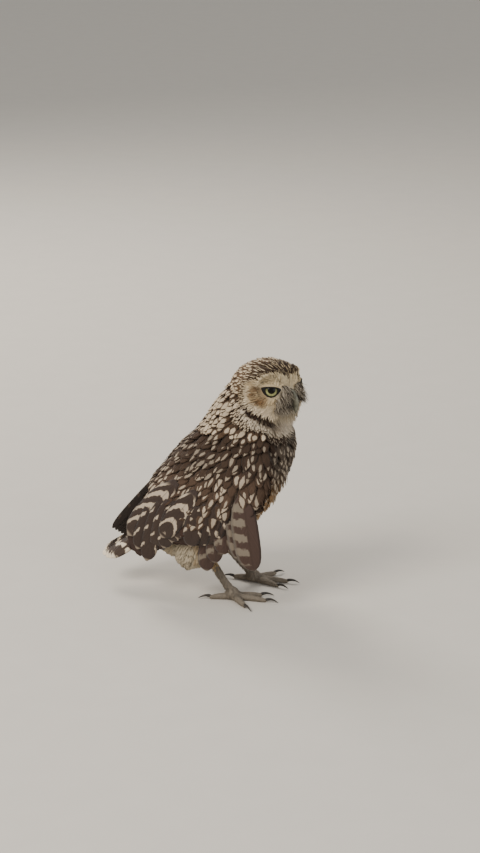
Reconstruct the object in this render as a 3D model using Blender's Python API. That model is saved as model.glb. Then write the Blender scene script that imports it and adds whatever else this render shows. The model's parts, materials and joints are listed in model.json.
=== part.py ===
"""A burrowing owl standing with its head turned to its right and its right wing tip let down, at life size.

Metres. +X is the way the body faces, +Y its left side and +Z up. The floor is z = 0.
"""

import math

import bmesh
import bpy
from mathutils import Matrix, Vector

# Clearance left between two pieces that meet, and under a claw
GAP = 0.0004
FLOOR_CLEARANCE = 0.0001

# A small share of a body's length, over which its direction is read
NUDGE = 0.01

# Rings along and points around each kind of body
BODY_ALONG = 16
BODY_AROUND = 20
NECK_ALONG = 5
WING_ALONG = 14
WING_AROUND = 16
FEATHER_ALONG = 6
FEATHER_AROUND = 8
TAIL_ALONG = 7
TAIL_AROUND = 14
THIGH_ALONG = 8
THIGH_AROUND = 14
SHANK_ALONG = 5
SHANK_AROUND = 10
TOE_ALONG = 4
TOE_AROUND = 8
CLAW_ALONG = 5
CLAW_AROUND = 6
BILL_ALONG = 8
BILL_AROUND = 10
EYE_AROUND = 16
EYE_RINGS = 10
FOOT_AROUND = 12
FOOT_RINGS = 8

# An end closes in like a ball's over this share of a body's length, and down to this share of its breadth
ROUND_END = 0.10
SMALLEST_END = 0.12

# Share of the trunk's length that the neck starts beyond, to leave a gap
NECK_CLEARANCE = 0.012

# A rib is (one edge, the other edge, half thickness, camber). A body is drawn over its ribs.
# The trunk's ribs run from its back to its front, from the rump to the shoulders and on up the neck.
TRUNK = (
    ((-0.0830, 0.0, 0.0820), (-0.0790, 0.0, 0.0460), 0.0100, 0.0),
    ((-0.0825, 0.0, 0.0950), (-0.0700, 0.0, 0.0310), 0.0180, 0.0),
    ((-0.0760, 0.0, 0.1040), (-0.0480, 0.0, 0.0265), 0.0260, 0.0),
    ((-0.0665, 0.0, 0.1165), (-0.0200, 0.0, 0.0420), 0.0330, 0.0),
    ((-0.0565, 0.0, 0.1290), (0.0060, 0.0, 0.0620), 0.0380, 0.0),
    ((-0.0455, 0.0, 0.1400), (0.0245, 0.0, 0.0840), 0.0410, 0.0),
    ((-0.0355, 0.0, 0.1520), (0.0375, 0.0, 0.1090), 0.0400, 0.0),
    ((-0.0270, 0.0, 0.1660), (0.0435, 0.0, 0.1320), 0.0350, 0.0),
    ((-0.0150, 0.0, 0.1830), (0.0370, 0.0, 0.1560), 0.0285, 0.0),
)
NECK_FROM = 0.78

# The head's centre, the way it faces, and its half sizes
HEAD_CENTRE = Vector((0.0195, 0.0, 0.1785))
HEAD_YAW = math.radians(-32)
HEAD_PITCH = math.radians(3)
HEAD_FRONT = 0.0265
HEAD_BACK = 0.0310
HEAD_SIDE = 0.0315
HEAD_UP = 0.0265
HEAD_DOWN = 0.0280
HEAD_CHIN = 0.0085
HEAD_POWER_UP = 2.15
HEAD_POWER_DOWN = 2.05
HEAD_AROUND = 28
HEAD_RINGS = 18

# Each eye: its ball, and the direction from the head's centre in which it sits
EYE_RADIUS = 0.0085
EYE_AZIMUTH = math.radians(40)
EYE_ELEVATION = math.radians(18.5)
EYE_CENTRE_OUT = 0.0205
DISH_DEPTH = 0.0028
DISH_SPREAD = math.radians(20)
BROW_HEIGHT = 0.0022
BROW_ABOVE_EYE = math.radians(20.5)
BROW_SPREAD = math.radians(9)
BROW_LENGTH = math.radians(34)

# The bill, from the brow between the eyes to its hooked tip: forward, up, half height, half width
BILL = (
    (0.0215, 0.0030, 0.0045, 0.0036),
    (0.0265, 0.0015, 0.0052, 0.0040),
    (0.0305, -0.0020, 0.0050, 0.0036),
    (0.0322, -0.0055, 0.0036, 0.0026),
    (0.0320, -0.0085, 0.0018, 0.0014),
    (0.0312, -0.0105, 0.0006, 0.0006),
)

# Each wing, given for the right side: ribs from its upper to its lower edge, shoulder to tip.
# Both begin alike. The right one droops a little and the left one is folded.
WING_SHOULDER = (
    ((0.0205, -0.0280, 0.1580), (0.0330, -0.0345, 0.1390), 0.0030, 0.0015),
    ((-0.0030, -0.0240, 0.1610), (0.0290, -0.0425, 0.1020), 0.0060, 0.0060),
    ((-0.0300, -0.0140, 0.1520), (0.0070, -0.0440, 0.0700), 0.0070, 0.0100),
)
RIGHT_WING_END = (
    ((-0.0545, -0.0115, 0.1285), (-0.0300, -0.0410, 0.0500), 0.0062, 0.0110),
    ((-0.0755, -0.0090, 0.0995), (-0.0540, -0.0355, 0.0480), 0.0046, 0.0080),
    ((-0.0900, -0.0105, 0.0740), (-0.0720, -0.0290, 0.0370), 0.0028, 0.0040),
    ((-0.1050, -0.0165, 0.0495), (-0.0890, -0.0250, 0.0280), 0.0014, 0.0015),
)
LEFT_WING_END = (
    ((-0.0545, -0.0115, 0.1285), (-0.0230, -0.0415, 0.0590), 0.0062, 0.0110),
    ((-0.0755, -0.0090, 0.0995), (-0.0500, -0.0370, 0.0540), 0.0046, 0.0080),
    ((-0.0915, -0.0125, 0.0755), (-0.0770, -0.0300, 0.0460), 0.0028, 0.0040),
    ((-0.1190, -0.0175, 0.0430), (-0.1120, -0.0220, 0.0340), 0.0012, 0.0015),
)
WING_FACING = Vector((0.1, -1.0, 0.2))

# The primaries that hang from the right wing in two groups. Each group has the top and the tip of
# its first and its last feather, the number of feathers, and their half breadth.
HANGING_PRIMARIES = (
    (
        (Vector((0.0180, -0.0445, 0.0900)), Vector((0.0170, -0.0475, 0.0350))),
        (Vector((0.0010, -0.0440, 0.0880)), Vector((-0.0025, -0.0450, 0.0515))),
        4,
        0.0066,
    ),
    (
        (Vector((-0.0060, -0.0415, 0.0800)), Vector((-0.0115, -0.0430, 0.0425))),
        (Vector((-0.0150, -0.0410, 0.0760)), Vector((-0.0240, -0.0395, 0.0285))),
        3,
        0.0062,
    ),
)
HANGING_THICKNESS = 0.0007
HANGING_WIDEST_AT = 0.6
HANGING_TOP_WIDTH = 0.7
HANGING_TIP_WIDTH = 0.75
HANGING_ENDS = (0.05, 0.22)
HANGING_STEP_IN = 0.0020
HANGING_FACING = Vector((0.1, -1.0, 0.0))

# The tail: ribs from its left to its right edge, from under the wings to its tip
TAIL = (
    ((-0.0740, 0.0120, 0.0630), (-0.0720, -0.0120, 0.0590), 0.0042, 0.0010),
    ((-0.0915, 0.0140, 0.0520), (-0.0875, -0.0140, 0.0450), 0.0032, 0.0010),
    ((-0.1100, 0.0145, 0.0395), (-0.1035, -0.0145, 0.0325), 0.0022, 0.0010),
    ((-0.1290, 0.0150, 0.0270), (-0.1205, -0.0150, 0.0205), 0.0010, 0.0010),
)

# Each leg, given for the right side: ribs of the feathered thigh from its front to its rear edge
THIGH = (
    ((0.0100, -0.0200, 0.0740), (-0.0550, -0.0180, 0.0640), 0.0130, 0.0),
    ((0.0030, -0.0215, 0.0580), (-0.0600, -0.0200, 0.0450), 0.0140, 0.0),
    ((-0.0120, -0.0225, 0.0440), (-0.0550, -0.0215, 0.0310), 0.0115, 0.0),
    ((-0.0185, -0.0225, 0.0340), (-0.0440, -0.0225, 0.0225), 0.0050, 0.0),
)

# A station is (x, y, z, half breadth, half thickness) at one place along a thin body's centre line
SHANK = (
    (-0.0225, -0.0225, 0.0300, 0.0036, 0.0034),
    (-0.0150, -0.0225, 0.0180, 0.0030, 0.0028),
    (-0.0075, -0.0225, 0.0075, 0.0036, 0.0034),
)
FOOT_CENTRE = Vector((-0.0060, -0.0225, 0.0050))
FOOT_RADIUS = 0.0056
LEFT_FOOT_AHEAD = 0.0090
LEG_Y = 0.0225

# Toes: the way each points from straight ahead, towards the outside, and its length
TOES = (
    ("inner", math.radians(-24), 0.0200),
    ("middle", math.radians(4), 0.0240),
    ("outer", math.radians(52), 0.0190),
    ("rear", math.radians(168), 0.0140),
)
TOE_RADIUS = 0.0027
TOE_ROOT_SWELL = 1.1
TOE_HEIGHT_SHARE = 0.93
TOE_START_SHARE = 0.4
TOE_TIP_RADIUS = 0.0017
CLAW_LENGTH = 0.0090
CLAW_RADIUS = 0.0013
CLAW_POINT_RADIUS = 0.0002
CLAW_TAPER = 0.7
CLAW_ARCH = 0.0018
CLAW_TURN = math.radians(144)
CLAW_FALL = 0.75
CLAW_CLEARANCE = 0.0009


def clear_scene():
    for item in list(bpy.data.objects):
        bpy.data.objects.remove(item)


def collection(name):
    made = bpy.data.collections.new(name)
    bpy.context.scene.collection.children.link(made)
    return made


def material(name, colour, roughness):
    made = bpy.data.materials.new(name)
    made.use_nodes = True
    shader = made.node_tree.nodes["Principled BSDF"]
    shader.inputs["Base Color"].default_value = (*colour, 1.0)
    shader.inputs["Roughness"].default_value = roughness
    return made


def through(stations, share):
    """The station at this share of the way along, on a smooth curve through all of them."""
    place = min(max(share, 0.0), 1.0) * (len(stations) - 1)
    first = min(int(place), len(stations) - 2)
    t = place - first
    before = stations[max(first - 1, 0)]
    start, end = stations[first], stations[first + 1]
    after = stations[min(first + 2, len(stations) - 1)]
    found = []
    for a, b, c, d in zip(before, start, end, after):
        value = 2 * b + (c - a) * t
        value += (2 * a - 5 * b + 4 * c - d) * t * t
        value += (3 * b - a - 3 * c + d) * t * t * t
        found.append(value / 2)
    return found


def through_ribs(ribs, share):
    """The centre, half breadth and half thickness vectors' sizes of the rib at this share of the way."""
    flat = [(*rib[0], *rib[1], rib[2], rib[3]) for rib in ribs]
    values = through(flat, share)
    return Vector(values[:3]), Vector(values[3:6]), values[6], values[7]


def spread_shares(count):
    """Shares from 0 to 1 that lie closer together near both ends."""
    even = [step / count for step in range(count + 1)]
    return [0.5 * share + 0.25 * (1 - math.cos(math.pi * share)) for share in even]


def end_closing(share, ends):
    """How far an end has closed in, as a ball's does, over its share of the length."""
    closing = 1.0
    for length, distance in zip(ends, (share, 1 - share)):
        if distance < length:
            closing = math.sqrt(max(1 - (1 - distance / length) ** 2, 0.0))
    return max(closing, SMALLEST_END)


def oval(centre, breadth, thickness, camber, around):
    ring = []
    for turn in range(around):
        angle = 2 * math.pi * turn / around
        bow = camber * math.sin(angle) ** 2
        ring.append(centre + breadth * math.cos(angle) + thickness * math.sin(angle) + bow)
    return ring


def rings_over(ribs, facing, along, around, span=(0.0, 1.0), grow=0.0, ends=(ROUND_END, ROUND_END)):
    """Oval rings over ribs. Their thickness and camber lie towards facing."""
    rings = []
    for share in spread_shares(along):
        place = span[0] + (span[1] - span[0]) * share
        one, other, half_thickness, camber = through_ribs(ribs, place)
        ahead = through_ribs(ribs, min(place + NUDGE, 1.0))
        behind = through_ribs(ribs, max(place - NUDGE, 0.0))
        tangent = (ahead[0] + ahead[1] - behind[0] - behind[1]).normalized()
        closing = end_closing(share, ends)
        across = (one - other) / 2
        normal = across.cross(tangent).normalized()
        if normal.dot(facing) < 0:
            normal.negate()
        centre = (one + other) / 2 + tangent * grow * (2 * share - 1)
        breadth = across * closing + across.normalized() * grow
        thickness = normal * (half_thickness * closing + grow)
        rings.append(oval(centre, breadth, thickness, normal * camber, around))
    return rings


def rings_along(stations, facing, along, around, grow=0.0, ends=(0.0, 0.0)):
    """Oval rings along a centre line. Their thickness lies towards facing."""
    rings = []
    for share in spread_shares(along):
        values = through(stations, share)
        ahead = Vector(through(stations, share + NUDGE)[:3])
        behind = Vector(through(stations, share - NUDGE)[:3])
        tangent = (ahead - behind).normalized()
        breadth = tangent.cross(facing).normalized()
        thickness = breadth.cross(tangent).normalized()
        centre = Vector(values[:3]) + tangent * grow * (2 * share - 1)
        closing = end_closing(share, ends)
        breadth = breadth * (values[3] * closing + grow)
        thickness = thickness * (values[4] * closing + grow)
        rings.append(oval(centre, breadth, thickness, Vector(), around))
    return rings


def mirrored(stations):
    return tuple((s[0], -s[1], *s[2:]) for s in stations)


def stepped(stations, top_ahead, foot_ahead):
    """A shank's stations, moved forward by one step at its top and by another at its foot."""
    last = len(stations) - 1
    steps = [top_ahead + (foot_ahead - top_ahead) * i / last for i in range(len(stations))]
    return tuple((s[0] + step, *s[1:]) for s, step in zip(stations, steps))


def mirrored_ribs(ribs):
    return tuple(((a[0], -a[1], a[2]), (b[0], -b[1], b[2]), *rest) for a, b, *rest in ribs)


def shifted_ribs(ribs, by):
    return tuple(((a[0] + by, *a[1:]), (b[0] + by, *b[1:]), *rest) for a, b, *rest in ribs)


def body_from_rings(name, rings, finish, home):
    """One closed body over rings that have the same number of points.

    Its sides are triangles, so that a body and the room cut for it fold along the same lines.
    """
    mesh = bpy.data.meshes.new(name)
    shape = bmesh.new()
    rows = [[shape.verts.new(point) for point in ring] for ring in rings]
    for low, high in zip(rows, rows[1:]):
        for i in range(len(low)):
            j = (i + 1) % len(low)
            shape.faces.new((low[i], low[j], high[j]))
            shape.faces.new((low[i], high[j], high[i]))
    shape.faces.new(rows[0])
    shape.faces.new(rows[-1])
    bmesh.ops.recalc_face_normals(shape, faces=shape.faces)
    shape.to_mesh(mesh)
    shape.free()
    mesh.materials.append(finish)
    mesh.shade_smooth()
    made = bpy.data.objects.new(name, mesh)
    home.objects.link(made)
    return made


def cut(target, cutter):
    """Takes the cutter's shape out of the target. The cutter stays as a hidden guide."""
    cutter.hide_render = True
    cutter.display_type = "WIRE"
    taken = target.modifiers.new("cut_" + cutter.name, "BOOLEAN")
    taken.operation = "DIFFERENCE"
    taken.object = cutter


def head_frame():
    """Columns are the head's forward, left and up."""
    return Matrix.Rotation(HEAD_YAW, 3, "Z") @ Matrix.Rotation(HEAD_PITCH, 3, "Y")


def eye_direction(side):
    """From the head's centre, in the head's own frame. Side is 1 on the left and -1 on the right."""
    level = math.cos(EYE_ELEVATION)
    return Vector(
        (
            level * math.cos(EYE_AZIMUTH),
            side * level * math.sin(EYE_AZIMUTH),
            math.sin(EYE_ELEVATION),
        )
    )


def head_radius(direction):
    """Distance from the head's centre to its surface in a direction of the head's own frame."""
    forward = HEAD_FRONT if direction.x > 0 else HEAD_BACK
    upward, power = HEAD_UP, HEAD_POWER_UP
    if direction.z < 0:
        chin = max(direction.x, 0.0) / max(math.hypot(direction.x, direction.y), 1e-6)
        upward, power = HEAD_DOWN + HEAD_CHIN * chin, HEAD_POWER_DOWN
    total = abs(direction.x / forward) ** power
    total += abs(direction.y / HEAD_SIDE) ** power
    total += abs(direction.z / upward) ** power
    radius = total ** (-1 / power)
    for side in (1, -1):
        eye = eye_direction(side)
        apart = direction.angle(eye)
        radius -= DISH_DEPTH * math.exp(-((apart / DISH_SPREAD) ** 2))
        azimuth = math.atan2(direction.y, direction.x) - side * EYE_AZIMUTH
        elevation = math.asin(max(-1.0, min(1.0, direction.z))) - EYE_ELEVATION
        over = (elevation - BROW_ABOVE_EYE) / BROW_SPREAD
        along = azimuth / BROW_LENGTH
        radius += BROW_HEIGHT * math.exp(-over * over - along * along)
    return radius


def head_body(name, finish, home, grow=0.0):
    mesh = bpy.data.meshes.new(name)
    shape = bmesh.new()
    bmesh.ops.create_uvsphere(shape, u_segments=HEAD_AROUND, v_segments=HEAD_RINGS, radius=1.0)
    turn = head_frame()
    for vertex in shape.verts:
        direction = vertex.co.normalized()
        vertex.co = HEAD_CENTRE + turn @ (direction * (head_radius(direction) + grow))
    shape.to_mesh(mesh)
    shape.free()
    mesh.materials.append(finish)
    mesh.shade_smooth()
    made = bpy.data.objects.new(name, mesh)
    home.objects.link(made)
    return made


def ball(name, centre, radius, finish, home, segments, rings):
    mesh = bpy.data.meshes.new(name)
    shape = bmesh.new()
    bmesh.ops.create_uvsphere(shape, u_segments=segments, v_segments=rings, radius=radius)
    bmesh.ops.translate(shape, verts=shape.verts, vec=centre)
    shape.to_mesh(mesh)
    shape.free()
    mesh.materials.append(finish)
    mesh.shade_smooth()
    made = bpy.data.objects.new(name, mesh)
    home.objects.link(made)
    return made


def bill_rings(grow):
    turn = head_frame()
    stations = []
    for forward, up, half_height, half_width in BILL:
        centre = HEAD_CENTRE + turn @ Vector((forward, 0.0, up))
        stations.append((*centre, half_height, half_width))
    facing = turn @ Vector((0, 1, 0))
    return rings_along(stations, facing, BILL_ALONG, BILL_AROUND, grow=grow, ends=(0.05, 0.0))


def make_head(finishes, parts, cutters):
    """The head, its eyes and bill. Returns the shape that its neighbours leave free for it."""
    head = head_body("head", finishes["plumage"], parts)
    for side, word in ((1, "left"), (-1, "right")):
        centre = HEAD_CENTRE + head_frame() @ (eye_direction(side) * EYE_CENTRE_OUT)
        ball("eye_" + word, centre, EYE_RADIUS, finishes["eye"], parts, EYE_AROUND, EYE_RINGS)
        room = EYE_RADIUS + GAP
        socket = ball("socket_" + word, centre, room, finishes["eye"], cutters, EYE_AROUND, EYE_RINGS)
        cut(head, socket)
    body_from_rings("bill", bill_rings(0.0), finishes["horn"], parts)
    cut(head, body_from_rings("bill_root", bill_rings(GAP), finishes["horn"], cutters))
    return head_body("head_room", finishes["plumage"], cutters, GAP)


def make_trunk(finishes, parts):
    """The trunk and the neck."""
    sideways = Vector((0, 1, 0))
    trunk_rings = rings_over(
        TRUNK, sideways, BODY_ALONG, BODY_AROUND, (0.0, NECK_FROM), ends=(ROUND_END, 0.0)
    )
    trunk = body_from_rings("trunk", trunk_rings, finishes["plumage"], parts)
    neck_span = (NECK_FROM + NECK_CLEARANCE, 1.0)
    neck_rings = rings_over(TRUNK, sideways, NECK_ALONG, BODY_AROUND, neck_span, ends=(0.0, 0.0))
    neck = body_from_rings("neck", neck_rings, finishes["plumage"], parts)
    return trunk, neck


def make_wings(finishes, parts, cutters):
    """Both wings. Returns each wing by side, with the shape that its neighbours leave free for it."""
    made = {}
    for side, word, end in ((1, "left", LEFT_WING_END), (-1, "right", RIGHT_WING_END)):
        ribs = WING_SHOULDER + end
        if side > 0:
            ribs = mirrored_ribs(ribs)
        facing = Vector((WING_FACING.x, -side * WING_FACING.y, WING_FACING.z))
        wing = body_from_rings(
            "wing_" + word,
            rings_over(ribs, facing, WING_ALONG, WING_AROUND),
            finishes["plumage"],
            parts,
        )
        room = body_from_rings(
            "wing_room_" + word,
            rings_over(ribs, facing, WING_ALONG, WING_AROUND, grow=GAP),
            finishes["plumage"],
            cutters,
        )
        made[side] = (wing, room)
    return made


def hanging_rings(top, tip, half_breadth, grow):
    middle = top.lerp(tip, HANGING_WIDEST_AT)
    stations = (
        (*top, half_breadth * HANGING_TOP_WIDTH, HANGING_THICKNESS),
        (*middle, half_breadth, HANGING_THICKNESS),
        (*tip, half_breadth * HANGING_TIP_WIDTH, HANGING_THICKNESS * HANGING_TOP_WIDTH),
    )
    return rings_along(stations, HANGING_FACING, FEATHER_ALONG, FEATHER_AROUND, grow, HANGING_ENDS)


def make_hanging_primaries(wing, finishes, parts, cutters):
    """The flight feathers let down from the right wrist, each one behind and inside the last."""
    number = 0
    for first, last, count, half_breadth in HANGING_PRIMARIES:
        for step in range(count):
            share = step / (count - 1)
            inwards = Vector((0.0, HANGING_STEP_IN * step, 0.0))
            top = first[0].lerp(last[0], share) + inwards
            tip = first[1].lerp(last[1], share) + inwards
            number += 1
            name = "primary_right_" + str(number)
            rings = hanging_rings(top, tip, half_breadth, 0.0)
            body_from_rings(name, rings, finishes["feather"], parts)
            rings = hanging_rings(top, tip, half_breadth, GAP)
            cut(wing, body_from_rings(name + "_room", rings, finishes["feather"], cutters))


def make_tail(finishes, parts, cutters):
    """The tail. Returns the shape that the trunk leaves free for its root."""
    upwards = Vector((0, 0, 1))
    rings = rings_over(TAIL, upwards, TAIL_ALONG, TAIL_AROUND)
    body_from_rings("tail", rings, finishes["feather"], parts)
    rings = rings_over(TAIL, upwards, TAIL_ALONG, TAIL_AROUND, grow=GAP)
    return body_from_rings("tail_room", rings, finishes["feather"], cutters)


def toe_stations(centre, heading, length):
    ahead = Vector((math.cos(heading), math.sin(heading), 0.0))
    start = centre + ahead * FOOT_RADIUS * TOE_START_SHARE
    end = centre + ahead * (FOOT_RADIUS + length)
    middle = start.lerp(end, 0.5)
    found = []
    for place, radius in ((start, TOE_RADIUS * TOE_ROOT_SWELL), (middle, TOE_RADIUS), (end, TOE_TIP_RADIUS)):
        found.append((place.x, place.y, radius * TOE_HEIGHT_SHARE, radius, radius))
    return tuple(found)


def on_the_floor(rings):
    """Flattens what would reach below the floor, so that a toe stands on a small flat."""
    return [[Vector((p.x, p.y, max(p.z, 0.0))) for p in ring] for ring in rings]


def claw_stations(toe):
    """A claw starts a gap beyond its toe's flat end, arches and comes down to the floor."""
    end = Vector(toe[-1][:3])
    ahead = (end - Vector(toe[0][:3])).normalized()
    root = end + ahead * CLAW_CLEARANCE
    found = []
    for step in range(CLAW_ALONG):
        share = step / (CLAW_ALONG - 1)
        radius = CLAW_RADIUS * (1 - share) ** CLAW_TAPER + CLAW_POINT_RADIUS
        height = end.z * (1 - share * CLAW_FALL) + CLAW_ARCH * math.sin(CLAW_TURN * share)
        place = root + ahead * CLAW_LENGTH * share
        found.append((place.x, place.y, max(height, radius + FLOOR_CLEARANCE), radius, radius))
    return tuple(found)


def make_leg(side, word, finishes, parts, cutters):
    """One leg: the thigh, the shank and a foot whose four toes are joined to it, with their claws."""
    ahead = LEFT_FOOT_AHEAD if side > 0 else 0.0
    thigh = shifted_ribs(THIGH, ahead / 2)
    shank = stepped(SHANK, ahead / 3, ahead)
    if side > 0:
        thigh = mirrored_ribs(thigh)
        shank = mirrored(shank)
    outwards = Vector((0, -side, 0))
    upwards = Vector((0, 0, 1))
    rings = rings_over(thigh, outwards, THIGH_ALONG, THIGH_AROUND)
    thigh_body = body_from_rings("thigh_" + word, rings, finishes["down"], parts)
    rings = rings_over(thigh, outwards, THIGH_ALONG, THIGH_AROUND, grow=GAP)
    thigh_room = body_from_rings("thigh_room_" + word, rings, finishes["down"], cutters)
    rings = rings_along(shank, outwards, SHANK_ALONG, SHANK_AROUND)
    shank_body = body_from_rings("shank_" + word, rings, finishes["skin"], parts)
    rings = rings_along(shank, outwards, SHANK_ALONG, SHANK_AROUND, grow=GAP)
    cut(thigh_body, body_from_rings("shank_room_" + word, rings, finishes["skin"], cutters))
    centre = FOOT_CENTRE.copy()
    centre.x += ahead
    centre.y = side * LEG_Y
    pad = ball("foot_" + word, centre, FOOT_RADIUS, finishes["skin"], parts, FOOT_AROUND, FOOT_RINGS)
    for vertex in pad.data.vertices:
        vertex.co.z = max(vertex.co.z, 0.0)
    room_radius = FOOT_RADIUS + GAP
    pad_room = ball(
        "foot_room_" + word, centre, room_radius, finishes["skin"], cutters, FOOT_AROUND, FOOT_RINGS
    )
    cut(shank_body, pad_room)
    for toe_name, heading, length in TOES:
        toe = toe_stations(centre, -heading if side < 0 else heading, length)
        rings = on_the_floor(rings_along(toe, upwards, TOE_ALONG, TOE_AROUND))
        label = word + "_" + toe_name
        toe_body = body_from_rings("toe_" + label, rings, finishes["skin"], cutters)
        toe_body.hide_render = True
        toe_body.display_type = "WIRE"
        joined = pad.modifiers.new("join_" + toe_name, "BOOLEAN")
        joined.operation = "UNION"
        joined.object = toe_body
        claw = claw_stations(toe)
        claw_rings = rings_along(claw, upwards, CLAW_ALONG, CLAW_AROUND)
        body_from_rings("claw_" + label, claw_rings, finishes["horn"], parts)
    return thigh_body, thigh_room


def centre_on_the_floor(items, moved):
    """Moves everything so that the origin is under the middle of the model, on the floor."""
    bpy.context.view_layer.update()
    corners = [item.matrix_world @ Vector(corner) for item in items for corner in item.bound_box]
    shift = Vector()
    for axis in (0, 1):
        values = [corner[axis] for corner in corners]
        shift[axis] = -(min(values) + max(values)) / 2
    stance = bpy.data.objects.new("stance", None)
    bpy.context.scene.collection.objects.link(stance)
    stance.location = shift
    for item in moved:
        item.parent = stance


def main():
    clear_scene()
    parts = collection("burrowing_owl")
    cutters = collection("cutters")
    finishes = {
        "plumage": material("spotted_plumage", (0.16, 0.11, 0.08), 0.85),
        "feather": material("barred_feather", (0.20, 0.14, 0.11), 0.75),
        "down": material("pale_down", (0.55, 0.45, 0.32), 0.90),
        "skin": material("grey_skin", (0.36, 0.33, 0.29), 0.70),
        "horn": material("dark_horn", (0.20, 0.19, 0.16), 0.40),
        "eye": material("eye", (0.65, 0.62, 0.25), 0.10),
    }
    head_room = make_head(finishes, parts, cutters)
    trunk, neck = make_trunk(finishes, parts)
    cut(neck, head_room)
    cut(trunk, make_tail(finishes, parts, cutters))
    wings = make_wings(finishes, parts, cutters)
    make_hanging_primaries(wings[-1][0], finishes, parts, cutters)
    for side, word in ((1, "left"), (-1, "right")):
        wing, room = wings[side]
        cut(wing, head_room)
        thigh, thigh_room = make_leg(side, word, finishes, parts, cutters)
        for neighbour in (trunk, neck, thigh):
            cut(neighbour, room)
        cut(trunk, thigh_room)
    centre_on_the_floor(list(parts.objects), list(parts.objects) + list(cutters.objects))


main()
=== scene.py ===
"""Looks of a burrowing owl that stands with its head turned and one wing tip let down.

A skin is drawn over the solid parts and sinks under them by the depth of the plumage. Feathers grow on
it along the lie of the coat, from bristles on the face to barred flight feathers on the wings and tail.
Metres. +X is the way the body faces, +Y its left side and +Z up.
"""

import itertools
import json
import math

import bmesh
import bpy
import numpy as np
from mathutils import Matrix, Vector
from mathutils.bvhtree import BVHTree

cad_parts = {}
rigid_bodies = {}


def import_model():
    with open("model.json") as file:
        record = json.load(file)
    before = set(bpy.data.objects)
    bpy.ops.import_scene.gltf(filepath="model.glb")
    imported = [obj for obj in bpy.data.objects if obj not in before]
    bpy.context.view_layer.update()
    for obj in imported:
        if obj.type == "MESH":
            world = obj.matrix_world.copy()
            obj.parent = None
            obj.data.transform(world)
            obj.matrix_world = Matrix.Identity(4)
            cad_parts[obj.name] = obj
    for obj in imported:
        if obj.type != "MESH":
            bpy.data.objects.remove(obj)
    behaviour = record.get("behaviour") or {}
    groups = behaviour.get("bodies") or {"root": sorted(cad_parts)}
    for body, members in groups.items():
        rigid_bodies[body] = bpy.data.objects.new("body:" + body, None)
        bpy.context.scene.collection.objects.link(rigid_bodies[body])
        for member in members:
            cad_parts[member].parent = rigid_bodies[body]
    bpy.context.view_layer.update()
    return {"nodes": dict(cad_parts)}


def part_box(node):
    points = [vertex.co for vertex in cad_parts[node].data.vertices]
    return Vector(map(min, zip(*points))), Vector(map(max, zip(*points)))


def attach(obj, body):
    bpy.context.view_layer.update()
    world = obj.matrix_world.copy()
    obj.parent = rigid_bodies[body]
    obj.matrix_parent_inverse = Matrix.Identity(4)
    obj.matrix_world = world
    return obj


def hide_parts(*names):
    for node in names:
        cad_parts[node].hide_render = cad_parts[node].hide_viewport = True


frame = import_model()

bl_info = {
    "name": "Burrowing Owl",
    "version": (1, 0, 0),
    "blender": (4, 5, 0),
    "location": "3D View > Sidebar > Owl",
    "description": "Makes the skin, plumage, eyes, bill and claws of a standing burrowing owl",
    "category": "Object",
}

BODY = "root"
SIDES = (("left", 1), ("right", -1))
TOES = ("inner", "middle", "outer", "rear")

# The picture's size, and where the floor point under the breast lies in it, in pixels
PICTURE = (480, 853)
FLOOR_POINT = (245, 590)

# How far the body's own frame lies ahead of the solids' frame
AHEAD = 0.0375


def linear(*shades):
    """Display shades from 0 to 255 as the linear values that a shader takes."""
    values = [shade / 255 for shade in shades]
    return tuple(v / 12.92 if v <= 0.04045 else ((v + 0.055) / 1.055) ** 2.4 for v in values)


def colour_property(name, description, shades):
    return bpy.props.FloatVectorProperty(
        name=name, description=description, subtype="COLOR", min=0.0, max=1.0, default=linear(*shades)
    )


def length_property(name, description, default):
    return bpy.props.FloatProperty(
        name=name, description=description, unit="LENGTH", min=0.0, precision=5, default=default
    )


class OwlPlumageSettings(bpy.types.PropertyGroup):
    """Colours and sizes of the plumage."""

    umber: colour_property("Umber", "Ground colour of the back and wings", (63, 49, 39))
    bark: colour_property("Bark", "Ground colour of the crown, and of the collar stripe", (50, 36, 26))
    cream: colour_property("Cream", "Spots of the back and wings", (192, 175, 153))
    warm: colour_property("Nape", "Spots of the nape", (216, 196, 166))
    ivory: colour_property("Ivory", "Spots of the nape and the tail's tips", (224, 208, 184))
    straw: colour_property("Straw", "Brow and the lower face", (204, 184, 146))
    tawny: colour_property("Tawny", "Patch behind and below the eye", (137, 107, 74))
    sage: colour_property("Sage", "Feathers around the bill", (142, 134, 120))
    rufous: colour_property("Rufous", "Lower breast and flanks", (158, 124, 86))
    ochre: colour_property("Ochre", "Thighs", (168, 138, 98))
    down: colour_property("Down", "Fluff of the vent", (176, 163, 140))
    plum: colour_property("Plum", "Flight feathers", (62, 46, 39))
    # Down is the underside's own pale colour, darkened somewhat as painted shade under the body
    leg: colour_property("Leg", "Bare skin of the shanks and toes", (120, 110, 97))
    skin_voxel: length_property("Skin grain", "Edge length of the skin's faces", 0.0014)
    back_depth: length_property("Body coat", "Depth of the plumage on the body", 0.0042)
    head_depth: length_property("Head coat", "Depth of the plumage on the head", 0.0022)
    bake_patch: bpy.props.FloatProperty(
        name="Patch", description="Width of each feather on the OFBake map", default=0.003, min=0.001
    )


class OwlEyeSettings(bpy.types.PropertyGroup):
    """Sizes and colours of the eyes."""

    iris_radius: length_property("Iris", "Radius of the iris", 0.0053)
    pupil_radius: length_property("Pupil", "Radius of the pupil", 0.0030)
    opening_radius: length_property("Lid opening", "Radius of the opening below the upper lid", 0.0051)
    iris: colour_property("Iris colour", "Main colour of the iris", (216, 214, 146))
    rim: colour_property("Lid colour", "Bare lids around the eye", (22, 17, 15))


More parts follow.
